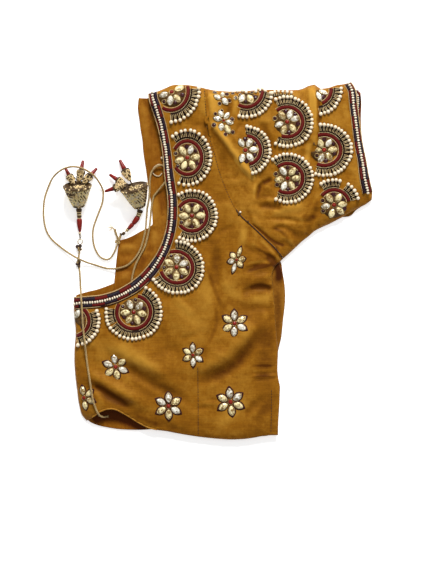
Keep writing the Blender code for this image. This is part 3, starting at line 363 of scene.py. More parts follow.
# lines and curves
def smoothLine(points, step):
    knots = np.array(points, float)
    if len(knots) < 3:
        knots = np.vstack([knots[:1], knots.mean(0), knots[-1:]])
    padded = np.vstack([2 * knots[0] - knots[1], knots, 2 * knots[-1] - knots[-2]])
    t = np.linspace(0, 1, 12, endpoint=False)[:, None]
    spans = [
        0.5 * (2 * b + (c - a) * t + (2 * a - 5 * b + 4 * c - d) * t**2 + (3 * b - a - 3 * c + d) * t**3)
        for a, b, c, d in zip(padded, padded[1:], padded[2:], padded[3:])]
    return evenly(np.vstack([*spans, knots[-1:]]), step)


def evenly(dense, step):
    long = lengthAlong(dense)[-1]
    return pointsAt(dense, np.linspace(0, long, max(2, round(long / step)) + 1))


def pointsAt(line, at, rows=None):
    # what a line, or other rows that belong to it, holds at distances along it
    rows = line if rows is None else rows
    return np.column_stack([np.interp(at, lengthAlong(line), column) for column in rows.T])


def lengthAlong(line):
    return np.concatenate([[0], np.cumsum(np.linalg.norm(np.diff(line, axis=0), axis=1))])


def unit(vectors):
    return vectors / np.maximum(np.linalg.norm(vectors, axis=-1, keepdims=True), 1e-9)


def leftOf(line):
    run = unit(np.gradient(line[:, :2], axis=0))
    return np.column_stack([-run[:, 1], run[:, 0]])


def nearestOn(points, line):
    # distance left of a line for each point, and how far along it from 0 to 1
    start, run = line[:-1], np.diff(line, axis=0)
    length = np.maximum(np.linalg.norm(run, axis=1), 1e-9)
    passed = np.concatenate([[0], np.cumsum(length)])
    signed, along = np.empty(len(points)), np.empty(len(points))
    for first in range(0, len(points), 2000):
        some = points[first:first + 2000]
        away = some[:, None] - start
        share = np.clip((away * run).sum(2) / length**2, 0, 1)
        gap = ((away - share[..., None] * run) ** 2).sum(2)
        best, row = gap.argmin(1), np.arange(len(some))
        cross = run[best, 0] * away[row, best, 1] - run[best, 1] * away[row, best, 0]
        signed[first:first + 2000] = np.where(cross >= 0, 1, -1) * np.sqrt(gap[row, best])
        along[first:first + 2000] = (passed[best] + share[row, best] * length[best]) / passed[-1]
    return signed, along


def insideOf(points, loop):
    (x0, y0), (x1, y1) = loop.T, np.roll(loop, -1, axis=0).T
    slope = (x1 - x0) / np.where(y1 == y0, 1e-9, y1 - y0)
    found = np.empty(len(points), bool)
    for first in range(0, len(points), 4000):
        x, y = points[first:first + 4000, 0:1], points[first:first + 4000, 1:2]
        crossing = ((y0 > y) != (y1 > y)) & (x < x0 + (y - y0) * slope)
        found[first:first + 4000] = crossing.sum(1) % 2 == 1
    return found


def ease(t):
    t = np.clip(t, 0, 1)
    return t * t * (3 - 2 * t)


# meshes gathered from many small parts
def newPile():
    return {"points": [], "strand": [], "faces": [], "finish": [], "smooth": [], "used": [], "count": 0}


def put(pile, points, faces, finish, smooth=True, strand=None):
    if finish not in pile["used"]:
        pile["used"].append(finish)
    start = pile["count"]
    pile["points"].append(points)
    pile["strand"].append(np.zeros(len(points)) if strand is None else strand)
    pile["faces"].extend([tuple(start + i for i in face) for face in faces])
    pile["finish"].extend([pile["used"].index(finish)] * len(faces))
    pile["smooth"].extend([smooth] * len(faces))
    pile["count"] += len(points)


def placed(shape, spot, along=(1, 0, 0), upward=up, size=(1, 1, 1)):
    upward = unit(np.array(upward, float))
    along = np.array(along, float)
    along = unit(along - upward * (along @ upward))
    turn = np.array([along, np.cross(upward, along), upward])
    return shape * np.array(size, float) @ turn + np.array(spot, float)


def newPiece(name, mesh, replaced):
    piece = bpy.data.objects.new(name, mesh)
    shelf.objects.link(piece)
    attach(piece, "root")
    if replaced:
        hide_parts(*replaced)
    return piece


def finishPiece(name, pile, replaced=()):
    mesh = bpy.data.meshes.new(name)
    mesh.from_pydata((np.vstack(pile["points"]) * mm).tolist(), [], pile["faces"])
    for finish in pile["used"]:
        mesh.materials.append(finishes[finish])
    mesh.polygons.foreach_set("material_index", pile["finish"])
    mesh.polygons.foreach_set("use_smooth", pile["smooth"])
    strand = mesh.attributes.new("strand", "FLOAT", "POINT")
    strand.data.foreach_set("value", np.concatenate(pile["strand"]).astype(np.float32))
    return newPiece(name, mesh, replaced)


def ringFaces(rows, around, capStart=True, capEnd=True):
    faces = []
    for r in range(rows - 1):
        for i in range(around):
            j = (i + 1) % around
            faces.append((r * around + i, r * around + j, (r + 1) * around + j, (r + 1) * around + i))
    if capStart:
        faces.append(tuple(range(around))[::-1])
    if capEnd:
        faces.append(tuple(range((rows - 1) * around, rows * around)))
    return faces


def roundAngles(count, turn=0):
    return (np.arange(count) + turn) / count * 2 * math.pi


def circle(count, reach=1.0, height=0.0, turn=0):
    angle = roundAngles(count, turn)
    return np.column_stack([reach * np.cos(angle), reach * np.sin(angle), np.full(count, height)])


def heading(degrees):
    return np.array([math.cos(math.radians(degrees)), math.sin(math.radians(degrees)), 0])


def spokes(side, top, count):
    # directions round a line, from its side and top directions
    angle = roundAngles(count)[:, None]
    return side[:, None] * np.cos(angle) + top[:, None] * np.sin(angle)


def turnedShape(profile, around):
    # a profile of (radius, height) from the bottom up, turned about Z
    return np.vstack([circle(around, r, z) for r, z in profile]), ringFaces(len(profile), around)


def ballShape(around, rows):
    angle = np.linspace(-0.5, 0.5, rows + 1)[1:-1] * math.pi
    points, faces = turnedShape([(math.cos(a), math.sin(a)) for a in angle], around)
    faces = faces[:-2]
    low, high = len(points), len(points) + 1
    last = (rows - 2) * around
    faces += [((i + 1) % around, i, low) for i in range(around)]
    faces += [(last + i, last + (i + 1) % around, high) for i in range(around)]
    return np.vstack([points, [(0, 0, -1), (0, 0, 1)]]), faces


def stoneShape(points, levels, power):
    # a pointed oval of length and width 1, cut in facets; levels are (share of the outline, height)
    angle = roundAngles(points)
    side = np.sin(angle)
    outline = np.column_stack([np.cos(angle) / 2, np.sign(side) * abs(side) ** power / 2])
    rings = [np.column_stack([outline * share, np.full(points, z)]) for share, z in levels]
    return np.vstack(rings), ringFaces(len(levels), points), outline


def carried(line):
    # tangent, side and top directions along a line, without twist
    tangent = unit(np.gradient(line, axis=0))
    side = np.empty_like(line)
    start = np.cross(up, tangent[0])
    side[0] = unit(start if np.linalg.norm(start) > 0.1 else np.cross(tangent[0], (1, 0, 0)))
    for i in range(1, len(line)):
        step = side[i - 1] - tangent[i] * (side[i - 1] @ tangent[i])
        side[i] = step / max(np.linalg.norm(step), 1e-9)
    return tangent, side, np.cross(tangent, side)


def putTube(pile, line, radius, finish, sides=6, strand=None):
    _, side, top = carried(line)
    points = line[:, None] + spokes(side, top, sides) * np.broadcast_to(radius, len(line))[:, None, None]
    runs = lengthAlong(line) if strand is None else strand
    put(pile, points.reshape(-1, 3), ringFaces(len(line), sides), finish, strand=np.repeat(runs, sides))


def putTwist(pile, line, radius, plies, pitch, finish, sides=6):
    # plies wound round each other along a line
    _, side, top = carried(line)
    along = lengthAlong(line)
    ply = radius / 2 if plies == 2 else radius * 0.464
    for k in range(plies):
        angle = (along / pitch + k / plies) * 2 * math.pi
        spread = side * np.cos(angle)[:, None] + top * np.sin(angle)[:, None]
        putTube(pile, line + spread * (radius - ply), ply * 1.06, finish, sides, strand=along * 1.4)


def putBand(pile, line, normals, section, finish, start=0.0, wide=None):
    # a strip along a line on the cloth; section is (left of the line, height) round its outline
    tangent = unit(np.gradient(line, axis=0))
    left = unit(np.cross(normals, tangent)) * (1 if wide is None else wide[:, None])
    rows = [line + left * u + normals * v for u, v in section]
    points = np.stack(rows, axis=1).reshape(-1, 3)
    along = np.repeat(lengthAlong(line) + start, len(section))
    put(pile, points, ringFaces(len(line), len(section)), finish, strand=along)


ball = ballShape(10, 7)
smallBall = ballShape(8, 5)
seedBall = ballShape(6, 4)
facetedStone = stoneShape(14, [(1.0, 0.0), (1.0, 0.42), (0.66, 0.86), (0.28, 1.0)], 1.5)
roundStone = turnedShape([(1.0, 0.0), (1.0, 0.35), (0.72, 0.8), (0.3, 1.0)], 8)
bugle = turnedShape([(0.35, 0.0), (0.5, 0.06), (0.5, 0.94), (0.35, 1.0)], 6)


# tie cords: lines from where each leaves the blouse, and the same in metres
cordLook = {"thickness": 2.25, "plies": 3, "pitch": 6.0, "step": 1.1}
cordLines = {
    "longTie": [
        (-60.6, 99.7, 5.3), (-65.7, 100.6, 4.9), (-70.7, 98.8, 4), (-75, 94, 3), (-77, 86.5, 2.7),
        (-77.4, 78.5, 2.7), (-77.8, 67, 2.6), (-79.7, 55.5, 1.7), (-80.7, 44, 1.6), (-81.7, 33, 4.2),
        (-84.7, 19.5, 3.7), (-88.7, 9, 3.7), (-95.2, 0, 3.7), (-102.7, -5.5, 3.5), (-111.7, -8, 3.3),
        (-118.2, -8.3, 2), (-124.2, -7.5, 1.3), (-134.2, -4.5, 1.4), (-143.7, -1.5, 2.7), (-151.7, 2, 4.7),
        (-160.7, 7, 2.5), (-171.2, 14.5, 1.3), (-180.7, 23, 1.3), (-186.2, 32, 1.3), (-188.7, 43, 1.3),
        (-189.2, 53.5, 1.3), (-188.2, 65, 1.3), (-184.7, 76.5, 1.5), (-179.2, 87.5, 4.2), (-170.7, 95, 9),
        (-160.7, 98.5, 12), (-151.2, 98, 12.8), (-142.7, 94.5, 12.9), (-134.7, 88.5, 9.9),
        (-129.2, 80.5, 3.8), (-126.4, 74, 1.5), (-126.2, 70, 1.3), (-127.2, 61.5, 1.3), (-130.2, 53, 1.3),
        (-133.7, 44, 1.3), (-136.7, 34.5, 1.3), (-137.2, 24, 1.3), (-135.2, 14, 1.3), (-130.2, 5, 1.4),
        (-123.7, 1.5, 1.4), (-118.7, 3, 1.9), (-114.7, 9, 3), (-112, 15.5, 3.3), (-109.8, 21, 3.2),
        (-107.6, 26.2, 2.8)],
    "shortTie": [
        (-59.4, 84.6, 5.3), (-62, 81.6, 5.2), (-64.7, 78.5, 4.8), (-68.7, 73.5, 3.4), (-73.2, 67.5, 2.8),
        (-75.2, 58, 2.6), (-76.4, 46.5, 1.9), (-77.2, 37.5, 4.3), (-79.2, 27, 4.2), (-82.6, 14.5, 4.1),
        (-88.2, 4.2, 4.1), (-92.4, -5, 4.6), (-95, -14, 4.7), (-96.3, -22.6, 5.1)],
    "hemTie": [
        (-120.7, -163.5, 2.6), (-124.7, -164.4, 4.4), (-128.5, -163.3, 9.8), (-131, -160.2, 13.2),
        (-133.8, -154, 13.8), (-136.6, -145, 14.2), (-138.7, -132, 14.4), (-140.4, -120.5, 14.4),
        (-142.4, -108, 12.4), (-143.8, -97, 12.4), (-144.6, -89, 14.8), (-145.6, -80, 14.2),
        (-146.8, -70, 13.7), (-147.6, -57, 13.7), (-148.2, -48, 13), (-148.7, -41, 12.4),
        (-149.3, -35.6, 8), (-149.7, -32, 3.8), (-150.2, -26, 1.6), (-150.6, -18, 1.3), (-151.2, -10, 1.3),
        (-152, -3, 1.3), (-152.1, 3, 1.3), (-151.5, 9, 1.3), (-150.7, 16.8, 1.3)],
}
cordRoutes = {name: [tuple(round(c * mm, 4) for c in spot) for spot in line]
              for name, line in cordLines.items()}
cordNodes = {"longTie": "tie_cord_long", "shortTie": "tie_cord_short", "hemTie": "tie_cord_hem"}


def makeCords(look):
    for name, route in cordRoutes.items():
        line = smoothLine(np.array(route) / mm, look["step"])
        pile = newPile()
        putTwist(pile, line, look["thickness"] / 2, look["plies"], look["pitch"], "tieCord")
        finishPiece(name, pile, [cordNodes[name]])
        print(name, "length mm", round(lengthAlong(line)[-1]))


makeCords(cordLook)


# the cloth: a fine shell on each solid's own form
def readNode(name):
    shape = bmesh.new()
    shape.from_mesh(nodes[name].data)
    bmesh.ops.scale(shape, vec=(1 / mm,) * 3, verts=shape.verts)
    bmesh.ops.remove_doubles(shape, verts=shape.verts, dist=0.002)
    shape.normal_update()
    return shape


def loopArea(loop):
    x, y = loop[:, 0], loop[:, 1]
    return (x * np.roll(y, -1) - y * np.roll(x, -1)).sum() / 2


def outlineFromAbove(shape, flat=0.02):
    # the longest loop of edges between faces that look up and faces that don't
    beside = {}
    for edge in shape.edges:
        faces = edge.link_faces
        if len(faces) == 2 and (faces[0].normal.z > flat) != (faces[1].normal.z > flat):
            a, b = edge.verts[0].index, edge.verts[1].index
            beside.setdefault(a, []).append(b)
            beside.setdefault(b, []).append(a)
    shape.verts.ensure_lookup_table()
    best, longest = None, 0
    for first in sorted(beside):
        loop = [first]
        while beside.get(loop[-1]):
            there = beside[loop[-1]].pop()
            beside[there].remove(loop[-1])
            loop.append(there)
        points = np.array([shape.verts[i].co for i in loop])
        if len(points) > 3 and lengthAlong(points)[-1] > longest:
            best, longest = points[:-1], lengthAlong(points)[-1]
    kept = [best[0]]
    for p in best[1:]:
        if np.linalg.norm(p[:2] - kept[-1][:2]) > 1.2:
            kept.append(p)
        elif p[2] > kept[-1][2]:
            kept[-1] = p
    loop = np.array(kept)
    return loop if loopArea(loop) > 0 else loop[::-1]


def softOutline(loop, step, corner=40):
    before = unit(loop[:, :2] - np.roll(loop, 1, axis=0)[:, :2])
    after = unit(np.roll(loop, -1, axis=0)[:, :2] - loop[:, :2])
    turn = np.degrees(np.arccos(np.clip((before * after).sum(1), -1, 1)))
    corners = [int(i) for i in np.nonzero(turn > corner)[0]] or [0]
    loop = np.roll(loop, -corners[0], axis=0)
    cuts = [i - corners[0] for i in corners] + [len(loop)]
    closed = np.vstack([loop, loop[:1]])
    return np.vstack([smoothLine(closed[a:b + 1], step)[:-1] for a, b in zip(cuts, cuts[1:])])


def creaseHeights(points, creases):
    # rows of height, the line, width left and right of it, and the shares of it that fade in and out
    found = np.zeros(len(points))
    for height, line, left, *given in creases:
        right, fadeIn, fadeOut = given + [left, 0.3, 0.3][len(given):]
        route = smoothLine(np.reshape(line, (-1, 2)), 3)
        reach = max(left, right)
        low, high = route.min(0) - reach, route.max(0) + reach
        near = np.nonzero(((points > low) & (points < high)).all(1))[0]
        if not len(near):
            continue
        signed, along = nearestOn(points[near], route)
        across = np.clip(abs(signed) / np.where(signed > 0, left, right), 0, 1)
        ends = ease(along / fadeIn) * ease((1 - along) / fadeOut)
        found[near] += height * (1 - across**2) ** 2 * ends
    return found


def crumple(points, waves, seed):
    # slow unevenness; waves are length along and across, direction, height, and 1 where they peak in creases
    found = np.zeros(len(points))
    for number, (along, across, degrees, height, sharp) in enumerate(waves):
        turn = math.radians(degrees)
        u = (points[:, 0] * math.cos(turn) + points[:, 1] * math.sin(turn)) / along + seed
        v = (points[:, 1] * math.cos(turn) - points[:, 0] * math.sin(turn)) / across
        wave = np.array([noise.noise(Vector((a, b, seed + 3.7 * number))) for a, b in zip(u, v)])
        found += height * ((1 - sharp) * wave + sharp * (0.5 - 1.6 * abs(wave)))
    return found


def closest(edge, spot):
    return np.linalg.norm(edge[:, :2] - spot, axis=1).argmin()


def alongCourse(edge, course, step):
    # an outline with one stretch of it led along a given line
    line = smoothLine(course, step)
    edge = np.roll(edge, -closest(edge, line[0]), axis=0)
    last = closest(edge, line[-1])
    level = [edge[closest(edge[:last + 1], p), 2] for p in line]
    return np.vstack([np.column_stack([line, level]), edge[last + 1:]])


def makeCloth(name, node, step, finish, creases, waves, soften=26, thickness=1.0, seed=1.0, shades=(),
              course=None, rows=(0.8, 1.9), inset=2.6):
    shape = readNode(node)
    tree = BVHTree.FromBMesh(shape)
    edge = softOutline(outlineFromAbove(shape), step)
    if course:
        edge = alongCourse(edge, course, step)
    shape.free()
    plan = edge[:, :2]
    left = leftOf(np.vstack([plan[-1:], plan, plan[:1]]))[1:-1]
    low, high = plan.min(0), plan.max(0)
    field = np.array([
        (x + (row % 2) * step / 2, y) for row, y in enumerate(np.arange(low[1], high[1], step * 0.866))
        for x in np.arange(low[0], high[0], step)])
    closed = np.vstack([plan, plan[:1]])
    kept = []
    for some, clear in [(plan + left * row, row * 0.9) for row in rows] + [(field, inset)]:
        some = some[insideOf(some, plan)]
        kept.append(some[abs(nearestOn(some, closed)[0]) > clear])
    inner = np.vstack(kept)
    ring = [(i, (i + 1) % len(plan)) for i in range(len(plan))]
    every = [Vector(p) for p in np.vstack([plan, inner])]
    flat, _, faces, origins, *_ = geometry.delaunay_2d_cdt(every, ring, [], 1, 1e-5)
    flat = np.array(flat)
    onEdge = np.array([origin[0] < len(plan) if origin else False for origin in origins])
    level = np.empty(len(flat))
    for i, (x, y) in enumerate(flat):
        hit = tree.ray_cast(Vector((x, y, 90)), Vector((0, 0, -1)))[0]
        level[i] = hit.z if hit is not None else np.nan
    level[onEdge] = edge[[origins[i][0] for i in np.nonzero(onEdge)[0]], 2]
    for i in np.nonzero(np.isnan(level))[0]:
        level[i] = edge[closest(plan, flat[i]), 2]
    gap = abs(nearestOn(flat, closed)[0])
    faces = np.array(faces)
    (ax, ay), (bx, by) = ((flat[faces[:, k]] - flat[faces[:, 0]]).T for k in (1, 2))
    down = ax * by - ay * bx <= 0
    faces[down] = faces[down][:, ::-1]
    pairs = np.vstack([faces[:, [0, 1]], faces[:, [1, 2]], faces[:, [2, 0]]])
    a, b = np.unique(np.sort(pairs, axis=1), axis=0).T
    count = np.bincount(a, minlength=len(flat)) + np.bincount(b, minlength=len(flat))
    firm = 0.75 * np.clip(gap / 5.0, 0.12, 1)
    firm[onEdge] = 0

    def relax(rounds):
        for _ in range(rounds):
            mean = (np.bincount(a, level[b], len(flat)) + np.bincount(b, level[a], len(flat))) / count
            level[:] += firm * (mean - level)

    relax(soften)
    fade = ease(gap / 4.0)
    folds, unevenness = creaseHeights(flat, creases), crumple(flat, waves, seed)
    level += (folds + unevenness) * fade
    relax(2)
    points = np.column_stack([flat, level])
    mesh = bpy.data.meshes.new(name)
    mesh.from_pydata((points * mm).tolist(), [], faces.tolist())
    mesh.shade_smooth()
    mesh.materials.append(finishes[finish])
    # painted light: fold heights and the listed shade rows, stored as colour that paints highlight on ridges
    # and shade in hollows
    rise = mesh.attributes.new("rise", "FLOAT", "POINT")
    paintedlight = (folds * 0.42 + unevenness * 0.55) * fade + creaseHeights(flat, shades)
    rise.data.foreach_set("value", paintedlight.astype(np.float32))
    piece = newPiece(name, mesh, [node])
    wall = piece.modifiers.new("cloth", "SOLIDIFY")
    wall.thickness = thickness * mm
    wall.offset = -1
    cloths[name] = {"outline": edge, "tree": BVHTree.FromPolygons(points.tolist(), faces.tolist())}
    print(name, "triangles", len(faces), "plan area m2", round(abs(loopArea(plan)) / 1e6, 4))
    return piece


def onCloth(points, *names):
    # the highest cloth under each plan point, and its upward normal there
    trees = [cloths[name]["tree"] for name in names]
    spots, normals = [], []
    for x, y in points:
        best = None
        for tree in trees:
            hit, normal, *_ = tree.ray_cast(Vector((x, y, 90)), Vector((0, 0, -1)))
            if hit is not None and (best is None or hit.z > best[0].z):
                best = (hit, normal)
        if best is None:
            best = trees[0].find_nearest(Vector((x, y, 3)))[:2]
        spots.append(best[0])
        normals.append(best[1] if best[1].z > 0 else -best[1])
    return np.array(spots), np.array(normals)


def stretchOf(name, start, end, step=1.0):
    # the part of a cloth's outline that runs from one corner to the next, with the cloth on its left
    outline = cloths[name]["outline"]
    outline = np.roll(outline, -closest(outline, start), axis=0)
    return evenly(outline[:closest(outline, end) + 1], step)


# the neck edge, from the shoulder round to the opening
neckCourse = [
    (-79, 175.8), (-78, 168.8), (-76.1, 163.6), (-74.2, 158.3), (-72.5, 153.1), (-70.9, 147.8),
    (-69.3, 142.6), (-68.1, 137.3), (-66.9, 132.1), (-65.8, 126.8), (-64.1, 116.3), (-63, 105.8),
    (-62.4, 95.3), (-61.4, 84.8), (-59.7, 74.3), (-58.4, 63.8), (-58.2, 53.3),
    (-58.8, 42.8), (-60.7, 32.3), (-63.9, 21.8),
    (-68.5, 11.3), (-75.2, 0.8), (-83.7, -9.7), (-95.4, -20.2), (-102.9, -25.2), (-111.3, -29.8),
    (-118.7, -32.6), (-129.2, -35.4), (-139.7, -36.5), (-149.1, -37), (-156.7, -37.9)]
# creases: height, the line as x and y in turn, width to its left, and where needed to its right, and fades
backCreases = [
    (1.3, [-150.2, -116.8, -134.4, -122, -116.6, -131.5, -99.8, -142, -86.1, -150.4], 9, 9, 0.2, 0.25),
    (-2.6, [-142.8, -128.3, -132.3, -133.6, -118.7, -142, -106.1, -148.3, -91.4, -156.7], 7, 7, 0.22, 0.25),
    (1.7, [-131.3, -80, -110.3, -94.7, -92.4, -105.2, -74.6, -114.7, -53.6, -126.2], 11, 9, 0.25, 0.25),
    (-1.7, [-108.2, -107.3, -92.4, -118.9, -76.7, -128.3, -60.9, -136.7, -45.2, -144.1, -29.4, -150.4], 7,
        7, 0.22, 0.25),
    (1.5, [-43.1, -116.8, -18.9, -110.5, -1.1, -102.1, 13.6, -89.5, 25.2, -73.7, 33.6, -55.9], 11, 9, 0.2,
        0.25),
    (-2, [-36.8, -131.5, -15.8, -124.1, 3.1, -115.7, 17.8, -105.2, 29.4, -90.5, 39.9, -73.7, 46.2, -60.1],
        9, 9, 0.25),
    (-1.4, [-3.2, 17.6, -6.3, -1.3, -7.4, -18.1, -10.5, -33.8], 8, 8, 0.2),
    (0.9, [-15.8, 11.3, -15.8, -7.6, -16.8, -26.5], 5),
    (-1.5, [18.9, -11.8, 32.5, -6.5, 43, -1.3, 52.5, 5], 4.5, 4.5, 0.25, 0.15),
    (0.8, [28.3, -18.1, 42, -17, 54.6, -12.8], 4.5, 4.5, 0.25, 0.15),
    (-2.3, [16.8, -34.9, 30.4, -29.6, 42, -28.6, 53.5, -31.7], 5.5, 5.5, 0.25, 0.12),
    (0.4, [15.7, -44.3, 32.5, -40.1, 47.2, -39.1, 55.6, -41.2], 6, 6, 0.25, 0.12),
    (-0.9, [23.1, -53.8, 36.7, -49.6, 50.4, -51.7], 5, 5, 0.25, 0.15),
    (1, [-3.2, -30.7, 9.4, -22.3, 22, -17], 8),
    (-1, [27.3, -117.8, 40.9, -118.9, 56.7, -116.8], 2.4, 2.4, 0.25, 0.1),
    (-0.9, [30.4, -124.1, 43, -124.6, 57.2, -123.1], 2.4, 2.4, 0.25, 0.1),
    (0.8, [28.3, -121, 43, -121.5, 56.7, -119.9], 2.6, 2.6, 0.25, 0.1),
    (-0.6, [35.7, -111.5, 46.2, -111, 56.7, -109.4], 3, 3, 0.25, 0.1),
    (-1.4, [43, -142, 31.5, -153.5, 21, -163], 6, 6, 0.25, 0.25),
    (-0.8, [-21, -146.7, -9.5, -145.6, 1, -147.2], 2.3),
    (-0.8, [-31.5, -156.7, -23.1, -154, -15.8, -154.6], 2.3, 2.3, 0.3, 0.2),
    (0.7, [-25.2, -150.9, -9.5, -150.4, 4.2, -152.5], 2.8, 2.8, 0.25, 0.25),
    (-1.1, [-21, -86.3, -18.9, -101, -22.1, -115.7], 5),
    (1.1, [-68.3, -41.2, -49.4, -60.1, -32.6, -75.8, -16.8, -89.5], 13),
    (-1, [3.1, -38, -4.2, -56.9, -11.6, -75.8, -17.9, -90.5], 7, 7, 0.25),
    (-1.1, [-78.8, -165.1, -57.8, -175.6, -34.7, -181.9], 7, 7, 0.25, 0.25),
    (0.9, [43, -45.4, 43, -62.2, 40.9, -79], 6),
    (-1, [51.4, -37, 51.4, -62.2, 50.4, -88.4, 51.4, -108.4], 5, 5, 0.2),
    (-0.8, [15.7, 18.7, 30.4, 10.3, 46.2, 1.9], 3, 3, 0.3, 0.15),
    (0.7, [22, 22.9, 35.7, 15.5, 50.4, 7.1], 3, 3, 0.3, 0.15),
    (-0.7, [-26.8, -110.5, -26.1, -146.2, -26.1, -184], 2, 2, 0.1, 0.02),
    (-0.6, [50.7, -135.7, 50.7, -159.8, 50.1, -182.9], 1.8, 1.8, 0.1, 0.02),
    (0.9, [45.1, 12.4, 56.7, 3.5, 63, -2.3], 3.2, 2.4, 0.2, 0.1),
    (-1.2, [40.9, 9.8, 52.5, 1.4, 60.9, -5.5], 2.6, 2.6, 0.25, 0.1),
    (-0.8, [-146, -72.7, -143.9, -93.7, -141.8, -110.5], 6),
    (0.8, [-55.7, -137.8, -34.7, -158.8, -11.6, -171.4], 8),
    (-0.6, [-76.7, -137.8, -60.9, -148.3, -47.3, -161.9], 5),
    (-0.8, [-28.4, 37.6, -18.9, 21.8, -7.4, 15.5], 5),
    (-1.4, [-21, 158.3, -18.4, 141.5, -16.8, 122.6], 4, 5, 0.25),
    (0.9, [-28.4, 141.5, -25.2, 135.2, -17.9, 126.8], 5, 5, 0.25),
    (-0.9, [-9.5, 26, 1, 32.3, 12.6, 36.5], 3.2),
    (0.9, [17.8, 44.9, 21, 30.2, 18.9, 13.4], 5),
    (1, [34.6, 36.5, 33.6, 23.9, 30.4, 11.3], 4),
    (-0.8, [27.3, 40.7, 27.3, 23.9, 24.1, 9.2], 4),
    (1.2, [-139.7, -129.4, -129.2, -144.1, -125, -155.6], 6, 5),
    (-1, [-99.8, -83.2, -87.2, -79, -74.6, -68.5], 5),
    (0.9, [-55.7, -37, -41, -47.5, -28.4, -60.1], 6),
    (-0.9, [-49.4, -83.2, -32.6, -79, -15.8, -70.6], 5),
    (-0.8, [-134.4, -88.4, -136.5, -100, -134.4, -110.5], 4),
]
sleeveCreases = [
    (2.7, [-12.6, 146.8, -6.3, 136.3, 3.1, 124.7, 11.5, 112.1, 21, 99, 30.4, 88.5, 36.7, 82.7], 5.5, 4.6,
        0.12, 0.2),
    (1.6, [-12.6, 179.3, -12.6, 164.6, -10.5, 147.8], 9, 7, 0.25, 0.35),
    (-1.2, [-7.4, 114.2, 1, 103.7, 10.5, 93.2, 21, 84.8], 7, 7, 0.25, 0.25),
    (-2, [51.4, 86.4, 45.1, 83.3, 39.9, 79.6, 37.2, 74.3, 34.1, 63.8], 2.8, 3.2, 0.15, 0.25),
    (1.3, [40.9, 85.9, 34.6, 78.5, 32, 69.1], 4, 4, 0.2),
    (1.2, [42, 75.4, 47.2, 77.5, 53.5, 74.3], 4, 5, 0.25),
    (-0.9, [37.8, 67, 46.2, 68.6, 54.6, 66.5], 2.4, 2.4, 0.25),
    (1, [40.9, 62.8, 51.4, 63.8, 63, 60.7], 3.5, 3.5, 0.25),
    (-1.7, [34.6, 56.5, 45.1, 57.5, 55.6, 55.4, 65.1, 53.3], 4, 4, 0.25),
    (1.2, [47.2, 50.2, 64, 54.4, 80.8, 57.5], 6, 5),
    (-1.3, [36.7, 42.8, 49.3, 44.4, 64, 43.9, 80.8, 41.3, 98.7, 41.8], 3, 3, 0.25, 0.15),
    (0.9, [51.4, 38.6, 63, 39.7, 74.5, 36.5], 3.6, 3.6, 0.25, 0.25),
    (-1.6, [48.3, 29.2, 56.7, 34.4, 66.1, 33.9, 73.5, 29.2, 78.7, 21.8], 3.6, 3.2, 0.25, 0.2),
    (1.3, [61.9, 28.1, 70.3, 21.8, 72.4, 14.5], 4, 4, 0.3, 0.2),
    (-1.1, [56.7, 19.2, 66.1, 18.7, 73.5, 13.4], 3, 3, 0.25, 0.1),
    (-1.2, [89.2, 38.6, 90.3, 32.3, 87.1, 25], 3.5, 3.5, 0.3, 0.15),
    (-1.6, [105, 55.4, 97.6, 49.1, 93.4, 40.7], 6, 6, 0.3, 0.25),
    (1.2, [80.8, 51.2, 82.9, 44.9, 78.7, 36.5], 6, 6, 0.3, 0.25),
    (1, [97.6, 74.3, 97.6, 61.7, 93.4, 51.2], 5, 5, 0.3, 0.25),
    (-0.9, [-7.4, 86.9, 6.3, 87.5, 21, 86.4], 3),
    (1.1, [30.4, 49.1, 34.6, 40.7, 40.9, 33.4], 5, 5, 0.3, 0.25),
    (-0.8, [24.1, 58.6, 28.3, 47, 34.6, 38.6], 4, 4, 0.3, 0.25),
    (1.4, [11.5, 177.2, 13.1, 164.6, 10.5, 152], 4, 4, 0.25),
    (-1.2, [6.3, 174.1, 6.8, 161.5, 5.2, 152], 3.4, 3.4, 0.25),
    (-1.4, [21, 147.8, 15.7, 138.4, 8.4, 128.9], 3, 3.4, 0.25),
    (2.3, [95, 185.6, 98.7, 169.1, 99, 147.8, 98, 128.9, 94.5, 105.8], 2.2, 10, 0.02, 0.25),
    (1.1, [87.1, 177.2, 85, 181.4, 80.8, 183.5], 7, 5, 0.25),
    (-1.4, [40.9, 141.5, 47.2, 128.9, 51.4, 116.3], 6, 6, 0.25),
    (1, [30.4, 145.7, 40.9, 146.8, 50.4, 143.6], 6, 6, 0.25),
    (1, [72.4, 116.3, 82.9, 118.4, 92.4, 113.2], 5, 5, 0.25),
    (0.9, [112.3, 44.9, 128.1, 50.2, 141.7, 57.5], 6, 5),
    (-1, [107.1, 38.6, 122.8, 43.9, 135.4, 50.2], 5),
    (-1.6, [28.3, 39.7, 40.9, 30.2, 54.6, 19.7, 67.2, 15], 2.6, 2.6, 0.1, 0.15),
]
frontCreases = [
    (-0.8, [-110.3, 5, -99.8, 6.6, -87.2, 4], 3.5, 3.5, 0.2, 0.2),
    (0.8, [-110.3, 13.4, -99.8, 14.5, -89.3, 12.4], 4, 4, 0.2, 0.2),
    (0.7, [-111.3, -3.4, -101.9, -1.3, -91.4, -3.4], 4, 4, 0.2, 0.2),
    (-0.7, [-110.3, -9.7, -99.8, -8.6, -90.3, -12.8], 3, 3, 0.2, 0.2),
    (0.6, [-111.3, -18.1, -104, -16, -96.6, -18.1], 3.5, 3.5, 0.2, 0.2),
    (-0.8, [-80.9, 36.5, -76.7, 21.8, -78.8, 5], 4, 4, 0.2, 0.2),
    (0.6, [-104, 21.8, -93.5, 26, -83, 30.2], 4, 4, 0.2, 0.2),
]
